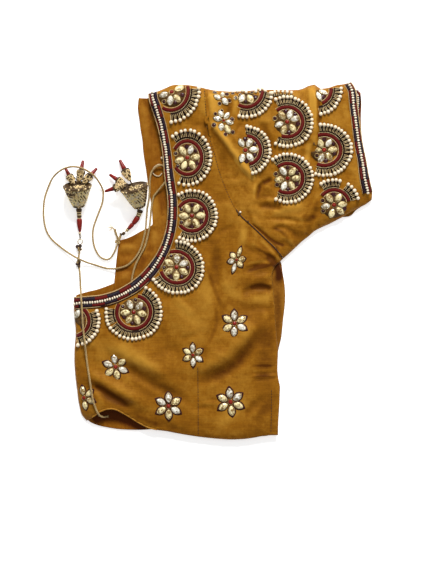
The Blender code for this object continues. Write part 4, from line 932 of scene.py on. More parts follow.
farCreases = [
    (0.9, [-87.2, 168.8, -83, 142.6, -77.7, 116.3], 5, 5, 0.2, 0.2),
    (-0.9, [-80.9, 173, -75.6, 147.8, -70.4, 120.5], 5, 5, 0.2, 0.2),
    (-0.9, [-80.9, 107.9, -74.6, 95.3, -70.4, 80.6], 4, 4, 0.2, 0.2),
    (0.8, [-76.7, 78.5, -73.5, 63.8, -74.6, 47], 4, 4, 0.2, 0.2),
]

# painted highlights and painted shade, as colour only, in the same rows
backShades = [
    (0.9, [-20, 177.2, -17.9, 160.4, -13.7, 145.7], 14, 10, 0.2),
    (-0.9, [-24.2, 139.4, -17.9, 124.7, -11.6, 107.9], 9),
    (-0.5, [40.9, -41.2, 43, -83.2, 40.9, -125.2, 38.8, -167.2], 20, 16),
    (-0.7, [47.2, -1.3, 40.9, -20.2, 34.6, -41.2], 10),
    (0.5, [-133.4, -106.3, -108.2, -93.7, -87.2, -95.8], 22),
    (-0.9, [-133.4, -137.8, -116.6, -147.2, -101.9, -153.5], 7, 7, 0.25),
    (-0.6, [-76.7, -171.4, -34.7, -177.7, 17.8, -179.8, 54.6, -177.7], 14, 9, 0.3, 0.2),
    (0.5, [-24.2, -14.9, -17.9, -41.2, -26.3, -72.7], 14),
    (-0.8, [-38.9, -131.5, -15.8, -124.1, 3.1, -115.7, 17.8, -103.1, 29.4, -87.4, 40.9, -70.6, 47.2, -58],
        7, 7, 0.25),
    (-0.5, [-99.8, -110.5, -81.9, -123.1, -64.1, -133.6, -45.2, -142], 8, 8, 0.25),
    (-0.8, [-101.9, -121, -85.1, -133.6, -68.3, -146.2], 7),
    (-1.5, [-139.7, -128.3, -125, -135.7, -110.3, -145.1, -95.6, -154.6], 5, 5, 0.25),
    (-2.4, [40.9, 7.1, 51.4, -0.2, 58.8, -9.7, 59.8, -22.3], 6, 5, 0.3, 0.05),
    (-1.6, [24.1, -30.7, 34.6, -26.5, 45.1, -26.5, 53.5, -29.6], 4, 4, 0.3, 0.2),
    (-1.2, [36.7, 18.7, 47.2, 11.3, 57.7, 0.8], 4),
    (-1.1, [26.2, -3.4, 36.7, -5.5, 49.3, -4.4], 3),
    (-0.9, [45.1, -51.7, 45.1, -83.2, 43, -114.7, 40.9, -135.7], 16, 10),
    (-1.3, [-97.7, -159.8, -80.9, -167.2, -62, -175.6], 4, 4, 0.25),
    (0.7, [-116.6, -85.3, -92.4, -100, -68.3, -116.8], 10),
    (0.6, [-24.2, -25.4, -13.7, -32.8, -20, -41.2], 10),
    (-0.9, [-11.6, -41.2, -6.3, -60.1, -11.6, -79, -20, -93.7], 3),
    (-0.6, [-66.2, -79, -60.9, -68.5, -66.2, -58], 6),
    (0.8, [-59.9, -32.8, -45.2, -46.4, -28.4, -64.3, -17.9, -79], 9),
    (-1, [-18.9, 2.9, -12.6, -20.2, -5.3, -39.1, 3.1, -53.8], 3.5),
    (0.7, [-1.1, -20.2, 9.4, -32.8, 24.1, -41.2], 7),
    (0.9, [-11.6, -179.8, 7.3, -160.9, 26.2, -142], 12),
    (-0.9, [32.5, -171.4, 43, -156.7, 54.6, -144.1], 7),
    (-1.4, [27.3, -111, 40.9, -109.9, 54.6, -110.5], 1.8, 1.8, 0.3, 0.2),
    (-1.4, [28.3, -122, 40.9, -121, 54.6, -121.5], 1.8, 1.8, 0.3, 0.2),
    (0.8, [29.4, -116.2, 40.9, -115.2, 54.6, -115.7], 3, 3, 0.3, 0.2),
    (0.7, [-55.7, -171.4, -24.2, -178.7, 12.6, -180.8, 47.2, -177.7], 8, 4),
    (-2, [40.9, 27.1, 49.3, 18.2, 58.8, 7.1, 64, 0.8], 2.4, 2.4, 0.2, 0.1),
    (1.1, [36.7, 23.9, 46.2, 15, 55.6, 5], 2.4, 2.4, 0.3, 0.2),
    (-1.6, [30.4, 14.5, 43, 9.2, 56.7, 0.8], 3, 3, 0.3, 0.2),
    (-1.9, [22, -11.8, 34.6, -8.1, 47.2, -4.9, 59.8, -3.4], 3, 3, 0.3, 0.1),
    (1, [22, -4.4, 35.7, -1.3, 49.3, -0.2], 3, 3, 0.3, 0.2),
    (0.9, [28.3, -41.2, 40.9, -39.1, 50.4, -42.2], 6, 5, 0.3, 0.2),
    (-0.7, [-11.6, 30.2, -8.4, 2.9, -11.6, -25.4], 9),
    (1, [24.1, 38.6, 21, 25, 16.8, 11.3], 7),
]
sleeveShades = [
    (1.5, [-15.8, 152, -7.4, 138.4, 2.1, 126.8, 11.5, 113.2, 21, 100.1, 30.4, 89.6, 37.8, 83.8], 9, 3.5,
        0.12, 0.2),
    (1.4, [-12.6, 181.4, -10.5, 164.6, -6.3, 149.9], 12, 9, 0.25),
    (-0.5, [-11.6, 137.3, -1.1, 120.5, 9.4, 105.8, 22, 91.1], 3, 6, 0.25),
    (0.9, [11.5, 177.2, 13.6, 164.6, 11.5, 149.9], 5),
    (-1, [5.2, 175.1, 6.3, 162.5, 5.2, 152], 4),
    (-0.8, [40.9, 147.8, 45.1, 131, 51.4, 116.3], 7),
    (0.9, [126, 168.8, 130.2, 156.2, 132.3, 145.7], 6),
    (-0.7, [97.6, 177.2, 99.7, 158.3, 99.7, 139.4], 6, 8),
    (0.8, [93.4, 179.3, 94.5, 156.2, 94.5, 133.1], 5),
    (-0.8, [36.7, 58.6, 54.6, 57.5, 70.3, 54.4], 6, 6, 0.25),
    (0.7, [55.6, 63.8, 72.4, 61.7, 85, 53.3], 8),
    (2.2, [11.5, 109, 23.1, 95.3, 34.6, 84.3], 4, 4, 0.15, 0.15),
    (1, [34.1, 83.8, 33, 74.3, 32, 63.8], 2.2, 2.2, 0.2, 0.2),
    (-1.1, [39.3, 80.6, 37.8, 72.2, 36.2, 63.8], 2.5, 2.5, 0.2, 0.2),
    (-1.5, [40.9, 81.7, 47.2, 83.8, 52.5, 86.9], 3, 3, 0.2, 0.2),
    (2, [91.8, 185.6, 93.4, 168.8, 93.9, 147.8, 92.9, 133.1], 5, 4, 0.2, 0.2),
    (1.5, [90.3, 126.8, 89.2, 114.2, 87.1, 100.6], 5, 5, 0.2, 0.2),
    (-1.5, [99.7, 179.3, 100.2, 158.3, 99.7, 137.3], 2.5, 3, 0.2, 0.2),
    (0.9, [49.3, 49.1, 70.3, 53.3, 87.1, 57.5], 9, 7),
    (-1.4, [80.8, 49.1, 89.2, 44.9, 99.7, 49.1], 5),
    (-1.2, [101.8, 65.9, 97.6, 58.6, 94.5, 51.2], 4),
    (-1.5, [49.3, 36.5, 59.8, 31.3, 71.4, 21.8], 2.8, 2.8, 0.25, 0.2),
    (-1.3, [40.9, 28.1, 51.4, 18.7, 59.8, 9.2], 3, 3, 0.25, 0.2),
    (-2.4, [28.3, 39.7, 40.9, 30.2, 54.6, 19.7, 67.2, 15], 2.2, 2.2, 0.1, 0.15),
    (1, [61.9, 40.7, 70.3, 41.8, 78.7, 39.7], 4),
]
farShades = [
    # the first row paints the shadow inside the hem's mouth
    (-3.4, [-137.6, -168.2, -125, -161.9, -110.3, -163, -95.6, -169.3, -78.8, -175.6], 10, 10, 0.05, 0.1),
    (-0.8, [-84, 177.2, -76.7, 170.9, -72.5, 158.3], 8),
    (0.9, [-73.5, 68, -71.4, 51.2, -74.6, 38.6], 6),
    (-0.8, [-66.2, 74.3, -64.1, 57.5, -65.1, 44.9], 5),
    (-3, [51.4, 2.9, 56.7, -6.5, 59.8, -16, 60.9, -24.4], 5, 5, 0.2),
]
hiddenShades = [
    # the first row paints the shade in the dark gap beside the far strip, under the arm
    (-2.8, [53.5, 4, 56.7, -4.4, 58.8, -14.9, 57.7, -26.5], 7, 6, 0.05),
    (0.8, [63, -16, 64.5, -41.2, 62.4, -83.2], 3),
    (-0.9, [56.7, -26.5, 57.7, -51.7, 56.7, -88.4], 4, 3, 0.2),
]
frontShades = [
    (0.9, [-110.3, 12.4, -101.9, 15.5, -91.4, 14.5], 5),
    (-0.9, [-111.3, -9.7, -104, -7.6, -95.6, -10.7], 3),
    (0.7, [-108.2, -18.1, -101.9, -13.9, -97.7, -7.6], 5),
    (-0.9, [-80.9, 9.2, -85.1, -1.3, -91.4, -11.8], 6),
    (-0.8, [-110.3, 20.8, -99.8, 21.8, -87.2, 29.2], 4),
    (0.8, [-74.6, 34.4, -72.5, 26, -74.6, 15.5], 6),
]


def weaker(creases):
    # the sides that lie underneath carry some of the same folds, at a third of their height
    return [(height * 0.35, *rest) for height, *rest in creases[1::3]]


def makeCloths():
    waves = [(60, 34, -35, 1.2, 0), (34, 13, -30, 1.05, 0.6), (18, 8, 15, 0.5, 0.5), (9, 5, -40, 0.2, 0.3)]
    back = makeCloth("backPanel", "back_panel", 1.35, "ochreSilk", backCreases, waves,
                     shades=backShades, course=neckCourse)
    waves = [(44, 24, -50, 1.2, 0), (26, 11, -55, 1.1, 0.6), (15, 7, 10, 0.55, 0.5), (9, 5, -60, 0.2, 0.3)]
    sleeve = makeCloth("nearSleeve", "sleeve", 1.35, "ochreSleeveSilk", sleeveCreases, waves,
                       seed=4.0, shades=sleeveShades)
    waves = [(60, 26, 80, 0.6, 0.3), (24, 11, 80, 0.45, 0.6), (12, 6, 60, 0.25, 0.5)]
    farBack = makeCloth("farBackHalf", "far_back_half", 2.6, "strapInside", farCreases, waves,
                        soften=4, thickness=0.9, seed=7.0, shades=farShades)
    waves = [(26, 12, 20, 0.6, 0.5), (12, 6, 20, 0.3, 0.5)]
    front = makeCloth("frontHalf", "front_half", 1.8, "strapInside", frontCreases, waves,
                      soften=10, thickness=0.9, seed=9.0, shades=frontShades)
    waves = [(40, 20, -50, 0.5, 0.3), (16, 8, 20, 0.3, 0.5)]
    farSleeve = makeCloth("farSleeve", "far_sleeve", 3.2, "ochreSleeveSilk", weaker(sleeveCreases),
                          waves, soften=4, thickness=0.9, seed=12.0)
    hidden = makeCloth("hiddenLayers", "hidden_layers", 3.2, "foldedSilk", weaker(backCreases),
                       waves, soften=10, thickness=1.6, seed=15.0, shades=farShades[:1] + hiddenShades)


makeCloths()
print("cloth ready")


# a row of stones, beads and rings
def putBall(pile, spot, size, finish, shape=ball, along=(1, 0, 0), upward=up):
    put(pile, placed(shape[0], spot, along, upward, np.broadcast_to(size, 3) / 2), shape[1], finish)


def putRing(pile, loop, normal, radius, finish, sides=5):
    tangent = unit(np.roll(loop, -1, axis=0) - np.roll(loop, 1, axis=0))
    side = np.cross(normal, tangent)
    points = loop[:, None] + radius * spokes(side, np.broadcast_to(normal, side.shape), sides)
    count = len(loop)
    faces = [(r * sides + i, r * sides + (i + 1) % sides, (r + 1) % count * sides + (i + 1) % sides,
              (r + 1) % count * sides + i) for r in range(count) for i in range(sides)]
    strand = np.repeat(np.arange(count) * 0.7, sides)
    put(pile, points.reshape(-1, 3), faces, finish, strand=strand)


def putStone(pile, spot, normal, along, size, finish, bezel="bezel", rim=0.38):
    # a marquise in a wire setting
    points, faces, outline = facetedStone
    put(pile, placed(points, spot - normal * 0.3, along, normal, size), faces, finish, smooth=False)
    ring = np.column_stack([outline, np.zeros(len(outline))])
    grown = (size[0] + rim * 1.2, size[1] + rim * 1.2, 1)
    putRing(pile, placed(ring, spot + normal * 0.25, along, normal, grown), normal, rim, bezel)


def putRoundStone(pile, spot, normal, radius, height, finish, ring=None, rim=0.35, gap=0.15):
    put(pile, placed(roundStone[0], spot - normal * 0.3, (1, 0.2, 0), normal, (radius, radius, height)),
        roundStone[1], finish, smooth=False)
    if ring:
        loop = circle(12, radius + rim + gap)
        putRing(pile, placed(loop, spot + normal * 0.25, (1, 0.2, 0), normal), normal, rim, ring)


def putPad(pile, spot, normal, along, size, finish):
    points, faces, _ = padShape
    put(pile, placed(points, spot - normal * 0.3, along, normal, size), faces, finish)


padShape = stoneShape(18, [(1.0, 0.0), (1.0, 0.6), (0.92, 1.0)], 2.0)
fineBall = ballShape(5, 3)


def domeSection(width, height):
    return [(width / 2 * u, height * v) for u, v in
            ((1, 0), (0.92, 0.45), (0.6, 0.85), (0, 1), (-0.6, 0.85), (-0.92, 0.45), (-1, 0))]


def stripSection(width, height):
    return [(width / 2, 0), (width / 2, height), (-width / 2, height), (-width / 2, 0)]


# borders of the neck and the cuffs: distance in from the edge, width and height of each row
borderLook = {
    "ground": (0.4, 10.3, 0.5), "groundStep": 1.5, "sink": 0.25, "piping": (0.85, 1.5),
    "outerStripe": (2.55, 2.6, 1.0), "pearlsAt": 5.2, "pearl": 2.9, "innerStripe": (7.9, 2.8, 1.0),
    "innerCord": (10.25, 1.0), "block": 13.6,
    # share of the length, and how wide the rows outside and inside the pearls are there
    "neckWidths": [(0, 0.95, 1.0), (0.1, 0.88, 0.97), (0.22, 0.8, 0.97), (0.34, 0.97, 1.05), (0.45, 0.9, 1.1),
                   (0.61, 1.2, 0.98), (0.68, 1.38, 1.15), (0.76, 1.52, 1.05), (0.83, 1.48, 0.92),
                   (0.9, 1.45, 1.0), (1, 1.45, 1.08)],
    "cuffWidths": [(0, 1.08, 1.05), (0.15, 1.02, 1.0), (0.3, 0.9, 0.88), (0.5, 0.84, 0.82), (1, 0.8, 0.8)],
}
farBorderLook = {
    "ground": (0.2, 4.4, 0.4), "groundStep": 1.2, "sink": 0.2, "outerStripe": (1.25, 2.0, 0.8),
    "pearlsAt": 3.2, "pearl": 2.2, "block": 12.0,
    "edge": [(142.9, 182), (143.2, 178.4), (145.2, 174), (145.3, 163.5), (144.8, 149)],
}
evenWidths = [(0, 1, 1), (1, 1, 1)]


def rowIn(edge, distance, widths, pearlsAt, step=None):
    # a row of the border, led in from the edge by the widths there
    outer, inner = widthsAt(edge, widths)
    reach = min(distance, pearlsAt) * outer + max(distance - pearlsAt, 0) * inner
    moved = edge[:, :2] + leftOf(edge) * reach[:, None]
    return evenly(moved, step) if step else moved


def widthsAt(line, widths):
    along = lengthAlong(line[:, :2])
    share, outer, inner = np.array(widths).T
    return np.interp(along / along[-1], share, outer), np.interp(along / along[-1], share, inner)


def putStripe(pile, line, cloth, width, height, block, first, wide):
    spots, normals = onCloth(line, cloth)
    along = lengthAlong(line)
    for k in range(int(along[-1] / block) + 1):
        inBlock = np.nonzero((along >= k * block - 0.01) & (along <= (k + 1) * block + 0.6))[0]
        if len(inBlock) < 3:
            continue
        finish = ("maroonSatin", "navySatin")[(k + first) % 2]
        putBand(pile, spots[inBlock] + normals[inBlock] * 0.25, normals[inBlock], domeSection(width, height),
                finish, start=along[inBlock[0]], wide=wide[inBlock])


def putPearlRow(pile, line, cloth, size, chance):
    route = evenly(line, size * 0.92)
    for spot, normal, way in zip(*onCloth(route, cloth), unit(np.gradient(route, axis=0))):
        wander = np.array([chance.uniform(-0.18, 0.18), chance.uniform(-0.18, 0.18), 0])
        around = size * chance.uniform(0.88, 1.02)
        putBall(pile, spot + normal * (size * 0.38 + 0.3) + wander, around * np.array([1.18, 0.84, 0.9]),
                "seedPearl", smallBall, (-way[1], way[0], 0), normal)


def makeBorder(name, node, cloth, edge, look, widths):
    pile, chance = newPile(), random.Random(name)
    pearlsAt = look["pearlsAt"]
    first, last, height = look["ground"]
    line = rowIn(edge, (first + last) / 2, widths, pearlsAt, look["groundStep"])
    outer, inner = widthsAt(line, widths)
    spots, normals = onCloth(line, cloth)
    putBand(pile, spots - normals * look["sink"], normals, stripSection(last - first, height + look["sink"]),
            "darkOutline", wide=((pearlsAt - first) * outer + (last - pearlsAt) * inner) / (last - first))
    for start, key in enumerate(("outerStripe", "innerStripe")):
        if key in look:
            distance, width, height = look[key]
            line = rowIn(edge, distance, widths, pearlsAt, 0.9)
            putStripe(pile, line, cloth, width, height, look["block"], start, widthsAt(line, widths)[start])
    for key in ("piping", "innerCord"):
        if key in look:
            distance, width = look[key]
            spots, normals = onCloth(rowIn(edge, distance, widths, pearlsAt, 0.75), cloth)
            putTwist(pile, spots + normals * (width / 2 + 0.1), width / 2, 2, 2.3, "zariCord", 5)
    putPearlRow(pile, rowIn(edge, pearlsAt, widths, pearlsAt), cloth, look["pearl"], chance)
    if "innerCord" in look:
        cloths[cloth]["border"] = rowIn(edge, look["innerCord"][0] + 0.5, widths, pearlsAt)
    finishPiece(name, pile, [node])


def makeBorders():
    neck = stretchOf("backPanel", neckCourse[0], neckCourse[-1])
    cuff = stretchOf("nearSleeve", (157.3, 72), (135.3, 188))
    makeBorder("neckBorder", "neck_border", "backPanel", neck, borderLook, borderLook["neckWidths"])
    makeBorder("cuffBorder", "cuff_border", "nearSleeve", cuff, borderLook, borderLook["cuffWidths"])
    farEdge = smoothLine(farBorderLook["edge"], 1.0)[:1:-1]
    makeBorder("farCuffBorder", "far_cuff_border", "farSleeve", farEdge, farBorderLook, evenWidths)


# horseshoe medallions: reaches along and across the way they face, and spans in degrees from +X
medallionLook = {
    "petal": (9.7, 6.0, 2.1), "petalAt": 8.8, "petalPad": (2.4, 2.2, 0.6), "hub": 2.3, "darkAt": 11.6,
    "dark": 2.5, "disc": (0.05, 0.47), "ringedAt": 13.0, "ringed": 1.7, "arcAt": 0.56, "arc": (3.6, 1.3),
    "fineLines": (-2.3, 2.4), "fineBead": 0.8, "ground": (0.62, 0.89), "bugleFrom": 0.7, "bugleTo": 0.865,
    "bugle": 0.52,
    "pearlsAt": 0.918, "pearl": 4.0, "apart": 4.3, "tip": 1.1,
}
pleatLine = np.array([(94.3, 108), (97.8, 129), (99.3, 148), (98.8, 169), (94.8, 187)])
neckMedallions = [
    {"at": (-54, 177.2), "reach": (30.7, 34.5), "facing": -15, "arc": (-120, 60), "pearls": [(-108, 60)],
     "petals": [27, -50, -99, -161], "darks": [-15, -72], "ringed": [-128]},
    {"at": (-37.6, 108.2), "reach": (26.5, 31.2), "facing": 0, "arc": (-140, 145), "pearls": [(-128, 134)],
     "petals": [5, 67, 123, -164, -112, -54], "darks": [40, 92, -30, -85], "ringed": [160, -138]},
    {"at": (-32.7, 47.3), "reach": (27.9, 28.6), "facing": 0, "arc": (-142, 146), "pearls": [(-130, 132)],
     "petals": [2, 60, 121, 181, -122, -61], "darks": [31, 89, -32, -90], "ringed": [150, -147]},
    {"at": (-48.9, -6.8), "reach": (30.5, 29.1), "facing": -32, "arc": (-165, 125), "pearls": [(-160, 98)],
     "petals": [-32, 28, 88, 148, -152, -92], "darks": [-62, -2, 58, -122], "ringed": [181, 115]},
    {"at": (-93.9, -54.1), "reach": (30.7, 31.7), "facing": -67, "arc": (-210, 75), "pearls": [(-196, -154),
     (-145, 62)], "petals": [-9, 48, 115, 182, -123, -65], "darks": [20, -37, -97, -154], "ringed": [81,
     153]},
    {"at": (-157.5, -63.2), "reach": (28.6, 29.6), "facing": -90, "arc": (-95, 55), "pearls": [(-94, 40)],
     "petals": [60, -62], "darks": [-32, 28], "ringed": []},
]
sleeveMedallions = [
    {"at": (24.6, 178.3), "reach": (29.5, 30), "facing": -5, "arc": (-120, 30), "pearls": [(-107, 30)],
     "petals": [-5, -64, -122, -184], "darks": [-35, -95], "ringed": [-148]},
    {"at": (67.2, 145.7), "reach": (29, 28), "facing": 0, "arc": (-112, 131), "pearls": [(-117, 117)],
     "petals": [22, 70, 128, -162, -112, -48], "darks": [44, 96, -10, -80], "ringed": [164]},
    {"at": (23.4, 115.9), "reach": (28, 27), "facing": 3, "arc": (-74, 84), "pearls": [(-74, 86)], "petals":
     [5, 62, 118, -56, -112], "darks": [33, 90, -27, -85], "ringed": [], "silver": True},
    {"at": (67.8, 86.6), "reach": (28, 27.5), "facing": 0, "arc": (-126, 131), "pearls": [(-119, 129)],
     "petals": [0, 55, 122, -171, -115, -60], "darks": [32, 90, -32, -88], "ringed": [160, -149]},
    {"at": (106.1, 116.2), "reach": (31, 29), "facing": 0, "arc": (-117, 114), "pearls": [(-110, 100)],
     "petals": [3, 57, 118, 180, -111, -53], "darks": [35, 90, -18, -81], "ringed": [-142], "near": {180:
     (6, 0.72), 118: (7.9, 0.92), -142: (9.6, 1)}},
    {"at": (116.6, 58.5), "reach": (28.5, 28.5), "facing": 90, "arc": (15, 142),
     "pearls": [(77, 122), (17, 56)], "petals": [5, 59, 124, 188, -106, -43], "darks": [95, -17, 33],
     "ringed": [159, -152]},
    {"at": (97.1, 180.4), "reach": (29.6, 29.6), "facing": 0, "arc": (-66, 90), "pearls": [(-80, 90)],
     "petals": [-22, -66], "darks": [-44, 4], "ringed": [], "silver": True},
]
medallions = neckMedallions + sleeveMedallions
for part, cloth, rows in (("neck", "backPanel", neckMedallions), ("sleeve", "nearSleeve", sleeveMedallions)):
    for number, own in enumerate(rows, 1):
        own.update(name=f"{part}Medallion{number}", node=f"{part}_medallion_{number}", on=cloth)
beyondPleat = ("sleeveMedallion5", "sleeveMedallion7")


def clearOf(points, spare, own):
    # which plan points keep off the panel's edge, its border, the pleat and the neighbouring ornaments
    cloth = cloths[own["on"]]
    outline = cloth["outline"][:, :2]
    closed = np.vstack([outline, outline[:1]])
    fine = insideOf(points, outline) & (abs(nearestOn(points, closed)[0]) > spare + 0.5)
    fine &= nearestOn(points, cloth["border"])[0] > spare - 0.3
    if own["name"] in beyondPleat:
        fine &= points[:, 0] > np.interp(points[:, 1], pleatLine[:, 1], pleatLine[:, 0]) + 1.0 + spare * 0.4
    elif own["on"] == "nearSleeve":
        fine &= points[:, 0] < np.interp(points[:, 1], pleatLine[:, 1], pleatLine[:, 0], left=200) - spare
    for other in medallions:
        alike = other["on"] == own["on"] and (other["name"] in beyondPleat) == (own["name"] in beyondPleat)
        if other is own or not alike or own["on"] == "nearSleeve":
            continue
        away = np.subtract(other["at"], own["at"])
        distance = np.linalg.norm(away)
        mine, theirs = sum(own["reach"]) / 2, sum(other["reach"]) / 2
        if distance < mine + theirs + 0.6:
            limit = (distance + mine - theirs) / 2 - spare * 0.3 + 0.6
            fine &= (points - own["at"]) @ (away / distance) < limit
    return fine


def runsOf(mask):
    edges = np.flatnonzero(np.diff(np.concatenate([[0], mask.astype(int), [0]])))
    return [(a, b) for a, b in zip(edges[::2], edges[1::2]) if b - a > 3]


def reachAt(own, degrees, share):
    away = np.radians(degrees - own["facing"])
    along, across = own["reach"]
    return share / np.hypot(np.cos(away) / along, np.sin(away) / across)


def onRing(own, degrees, distance):
    degrees = np.asarray(degrees, float)
    turn = np.radians(degrees)
    return own["at"] + np.column_stack([np.cos(turn), np.sin(turn)]) * np.reshape(distance, (-1, 1))


def spread(start, end, own, share, apart):
    size = math.radians(end - start) * float(reachAt(own, (start + end) / 2, share))
    return np.linspace(start, end, max(2, round(size / apart) + 1))


def layBand(pile, own, route, spare, sink, section, finish):
    # a band along the stretches of a route that are clear
    for a, b in runsOf(clearOf(route, spare, own)):
        spots, normals = onCloth(route[a:b], own["on"])
        putBand(pile, spots - normals * sink, normals, section, finish)


def putArc(pile, own, look):
    degrees = spread(*own["arc"], own, look["arcAt"], 1.1)
    reach = reachAt(own, degrees, look["arcAt"])
    width, height = look["arc"]
    layBand(pile, own, onRing(own, degrees, reach), width / 4, 0.1, domeSection(width, height), "maroonSatin")
    for distance in look["fineLines"]:
        beads = spread(*own["arc"], own, look["arcAt"], look["fineBead"] * 1.08)
        plan = onRing(own, beads, reachAt(own, beads, look["arcAt"]) + distance)
        plan = plan[clearOf(plan, 0.4, own)]
        for spot, normal in zip(*onCloth(plan, own["on"])) if len(plan) else ():
            putBall(pile, spot + normal * 0.3, look["fineBead"], "zariBead", fineBall)


def putGround(pile, own, look):
    # couched gold ground under the flower, as a band round its hub
    first, last = look["disc"]
    degrees = np.linspace(*((own["arc"][0] - 15, own["arc"][1] + 12) if own.get("silver") else (0, 360)), 61)
    route = onRing(own, degrees, reachAt(own, degrees, (first + last) / 2))
    width = (last - first) * sum(own["reach"]) / 2
    layBand(pile, own, route, width * 0.3, 0.2, stripSection(width, 0.42), "couchedGround")


def putFringe(pile, own, look, chance):
    inner, outer = look["ground"]
    for start, end in own["pearls"]:
        degrees = spread(start, end, own, look["pearlsAt"], look["apart"])
        step = degrees[1] - degrees[0]
        degrees = degrees + np.array([chance.uniform(-0.1, 0.1) for _ in degrees]) * step
        share = look["pearlsAt"] + np.array([chance.uniform(-0.012, 0.012) for _ in degrees])
        pearls = onRing(own, degrees, reachAt(own, degrees, share))
        keep = clearOf(pearls, look["pearl"] * 0.42, own)
        if not keep.any():
            continue
        around = spread(degrees[keep].min() - 2, degrees[keep].max() + 2, own, 0.775, 1.2)
        route = onRing(own, around, reachAt(own, around, (inner + outer) / 2))
        width = (outer - inner) * sum(own["reach"]) / 2
        layBand(pile, own, route, width * 0.3, 0.15, stripSection(width, 0.5), "umberFloss")
        for at, turn in zip(pearls[keep], degrees[keep]):
            size = look["pearl"] * chance.uniform(0.9, 1.05)
            (spot,), (normal,) = onCloth(at[None], own["on"])
            out = heading(turn)
            putBall(pile, spot + normal * size * 0.42, (size * 1.08, size, size), "pearl", ball, out, normal)
            tip = spot + out * (size / 2 + look["tip"] * 0.4)
            putBall(pile, tip + normal * 0.5, look["tip"], "bronzeBead", seedBall)
            for side in (-1, 1):
                low = turn + side * step * (0.25 + chance.uniform(-0.08, 0.08))
                high = turn + side * step * 0.12
                ends = onRing(own, [low, high], [reachAt(own, low, look["bugleFrom"]),
                                                 reachAt(own, high, look["bugleTo"])])
                feet, tops = onCloth(ends, own["on"])
                run = feet[1] - feet[0]
                long = np.linalg.norm(run)
                put(pile, placed(bugle[0], feet[0] + tops[0] * 0.65, tops[0], run,
                                 (look["bugle"], look["bugle"], long)), bugle[1], "zariBugle")


def putFlower(pile, own, look, chance):
    def spotsFor(angles, distance, spare):
        near = own.get("near", {})
        plan = onRing(own, angles, [near.get(a, (distance,))[0] + chance.uniform(-0.3, 0.3) for a in angles])
        keep = clearOf(plan, spare, own)
        found = onCloth(plan[keep], own["on"]) if keep.any() else ((), ())
        return zip(np.array(angles)[keep], *found)

    length, width, height = look["petal"]
    for angle, spot, normal in spotsFor(own["petals"], look["petalAt"], width / 2 - 0.3):
        out = heading(angle + chance.uniform(-6, 6))
        kind = "silverKundan" if own.get("silver") or chance.random() < 0.2 else "kundan"
        scale = chance.uniform(0.92, 1.05) * own.get("near", {}).get(angle, (0, 1.0))[1]
        longer, wider, thick = look["petalPad"]
        putPad(pile, spot, normal, out, (length * scale + longer, width * scale + wider, thick), "umberFloss")
        putStone(pile, spot + normal * 0.1, normal, out, (length * scale, width * scale, height), kind)
    for angle, spot, normal in spotsFor(own["darks"], look["darkAt"], look["dark"]):
        putRoundStone(pile, spot, normal, look["dark"] * chance.uniform(0.85, 1.1), 1.5, "nightStone")
    for angle, spot, normal in spotsFor(own["ringed"], look["ringedAt"], look["ringed"] + 0.8):
        putRoundStone(pile, spot, normal, look["ringed"], 1.5, "nightStone", "bezel", 0.45, 0.2)
    plan = np.array([own["at"]], float)
    if clearOf(plan, 0.3, own)[0]:
        (spot,), (normal,) = onCloth(plan, own["on"])
        putRoundStone(pile, spot, normal, look["hub"], 2.0, "redStone", "bezel", 0.35, 0.1)


def makeMedallion(own, look):
    pile, chance = newPile(), random.Random(own["name"])
    putGround(pile, own, look)
    putArc(pile, own, look)
    putFringe(pile, own, look, chance)
    putFlower(pile, own, look, chance)
    finishPiece(own["name"], pile, [own["node"]])


# small flowers of set stones on the back: middle, reaches along and across the first petal, and its angle
sprigLook = {
    "petal": (9.6, 6.0, 2.0), "petalAt": 8.5, "hub": 2.3, "pad": (4.6, 3.0), "padHeight": 0.75, "size": 15.4,
}
sprigs = [
    ((14.1, 0.8), 16, 9.5, 70), ((12, -65.8), 15.4, 15.4, 90), ((-31.5, -98.9), 13.6, 12.4, 90),
    ((-112.9, -111.5), 15, 15, 100), ((-57.3, -152.5), 16, 16, 90), ((7.8, -148.3), 16.6, 16.2, 95),
    ((-146, -144.1), 14, 13.6, 100)]


# silver flowers of the shoulder: petals as middle, angle, length, width, and which of them are gilt;
# dark stones and the hub as middle and radius
silverSprigs = [
    {"hub": (0.6, 146.8, 1.5), "gilt": [2],
     "petals": [(-5.7, 149, 170, 8.2, 5.2), (-1.9, 140.2, -100, 7.6, 5.6), (4.6, 138, -62, 9.4, 5.6),
                (-2.4, 154.3, 112, 7.4, 5), (3.7, 152.2, 52, 8.2, 4.8), (6.7, 145.3, -12, 8, 4.8)],
     "darks": [(-8, 154.1, 1.6), (-1.5, 157.4, 1.6), (9.2, 148.3, 2.2), (-9.5, 142.3, 2.3),
               (10, 135, 1.9), (2.5, 132.5, 1.9)]},
    {"hub": (-2.1, 170.3, 1.2), "gilt": [],
     "petals": [(-5.8, 171.8, 160, 7.6, 5.2), (2.1, 167.4, -52, 8.4, 5.8), (-0.5, 174.5, 85, 5.6, 4.2)],
     "darks": [(-8.7, 177, 2), (3.9, 175.1, 2.3), (6.7, 168.4, 1.9), (-3.6, 165.1, 1.7)]},
]


def makeSilverSprig(number, own, look):
    pile = newPile()
    longer, wider = look["pad"]
    for k, (x, y, degrees, long, wide) in enumerate(own["petals"]):
        kind, out = "kundan" if k in own["gilt"] else "silverKundan", heading(degrees)
        (spot,), (normal,) = onCloth([(x, y)], "nearSleeve")
        padSize = (long + longer * 0.5, wide + wider * 0.6, look["padHeight"])
        putPad(pile, spot, normal, out, padSize, "umberFloss")
        putStone(pile, spot + normal * 0.3, normal, out, (long, wide, 2.0), kind, rim=0.34)
    for x, y, radius in own["darks"]:
        (spot,), (normal,) = onCloth([(x, y)], "nearSleeve")
        putRoundStone(pile, spot, normal, radius, 1.6, "nightStone", "oldGold", 0.25, 0.05)
    x, y, radius = own["hub"]
    (spot,), (normal,) = onCloth([(x, y)], "nearSleeve")
    putRoundStone(pile, spot + normal * 0.4, normal, radius, 1.6, "redStone", "bezel", 0.3, 0.1)
    finishPiece(f"sprig{number}", pile, [f"sprig_{number}"])


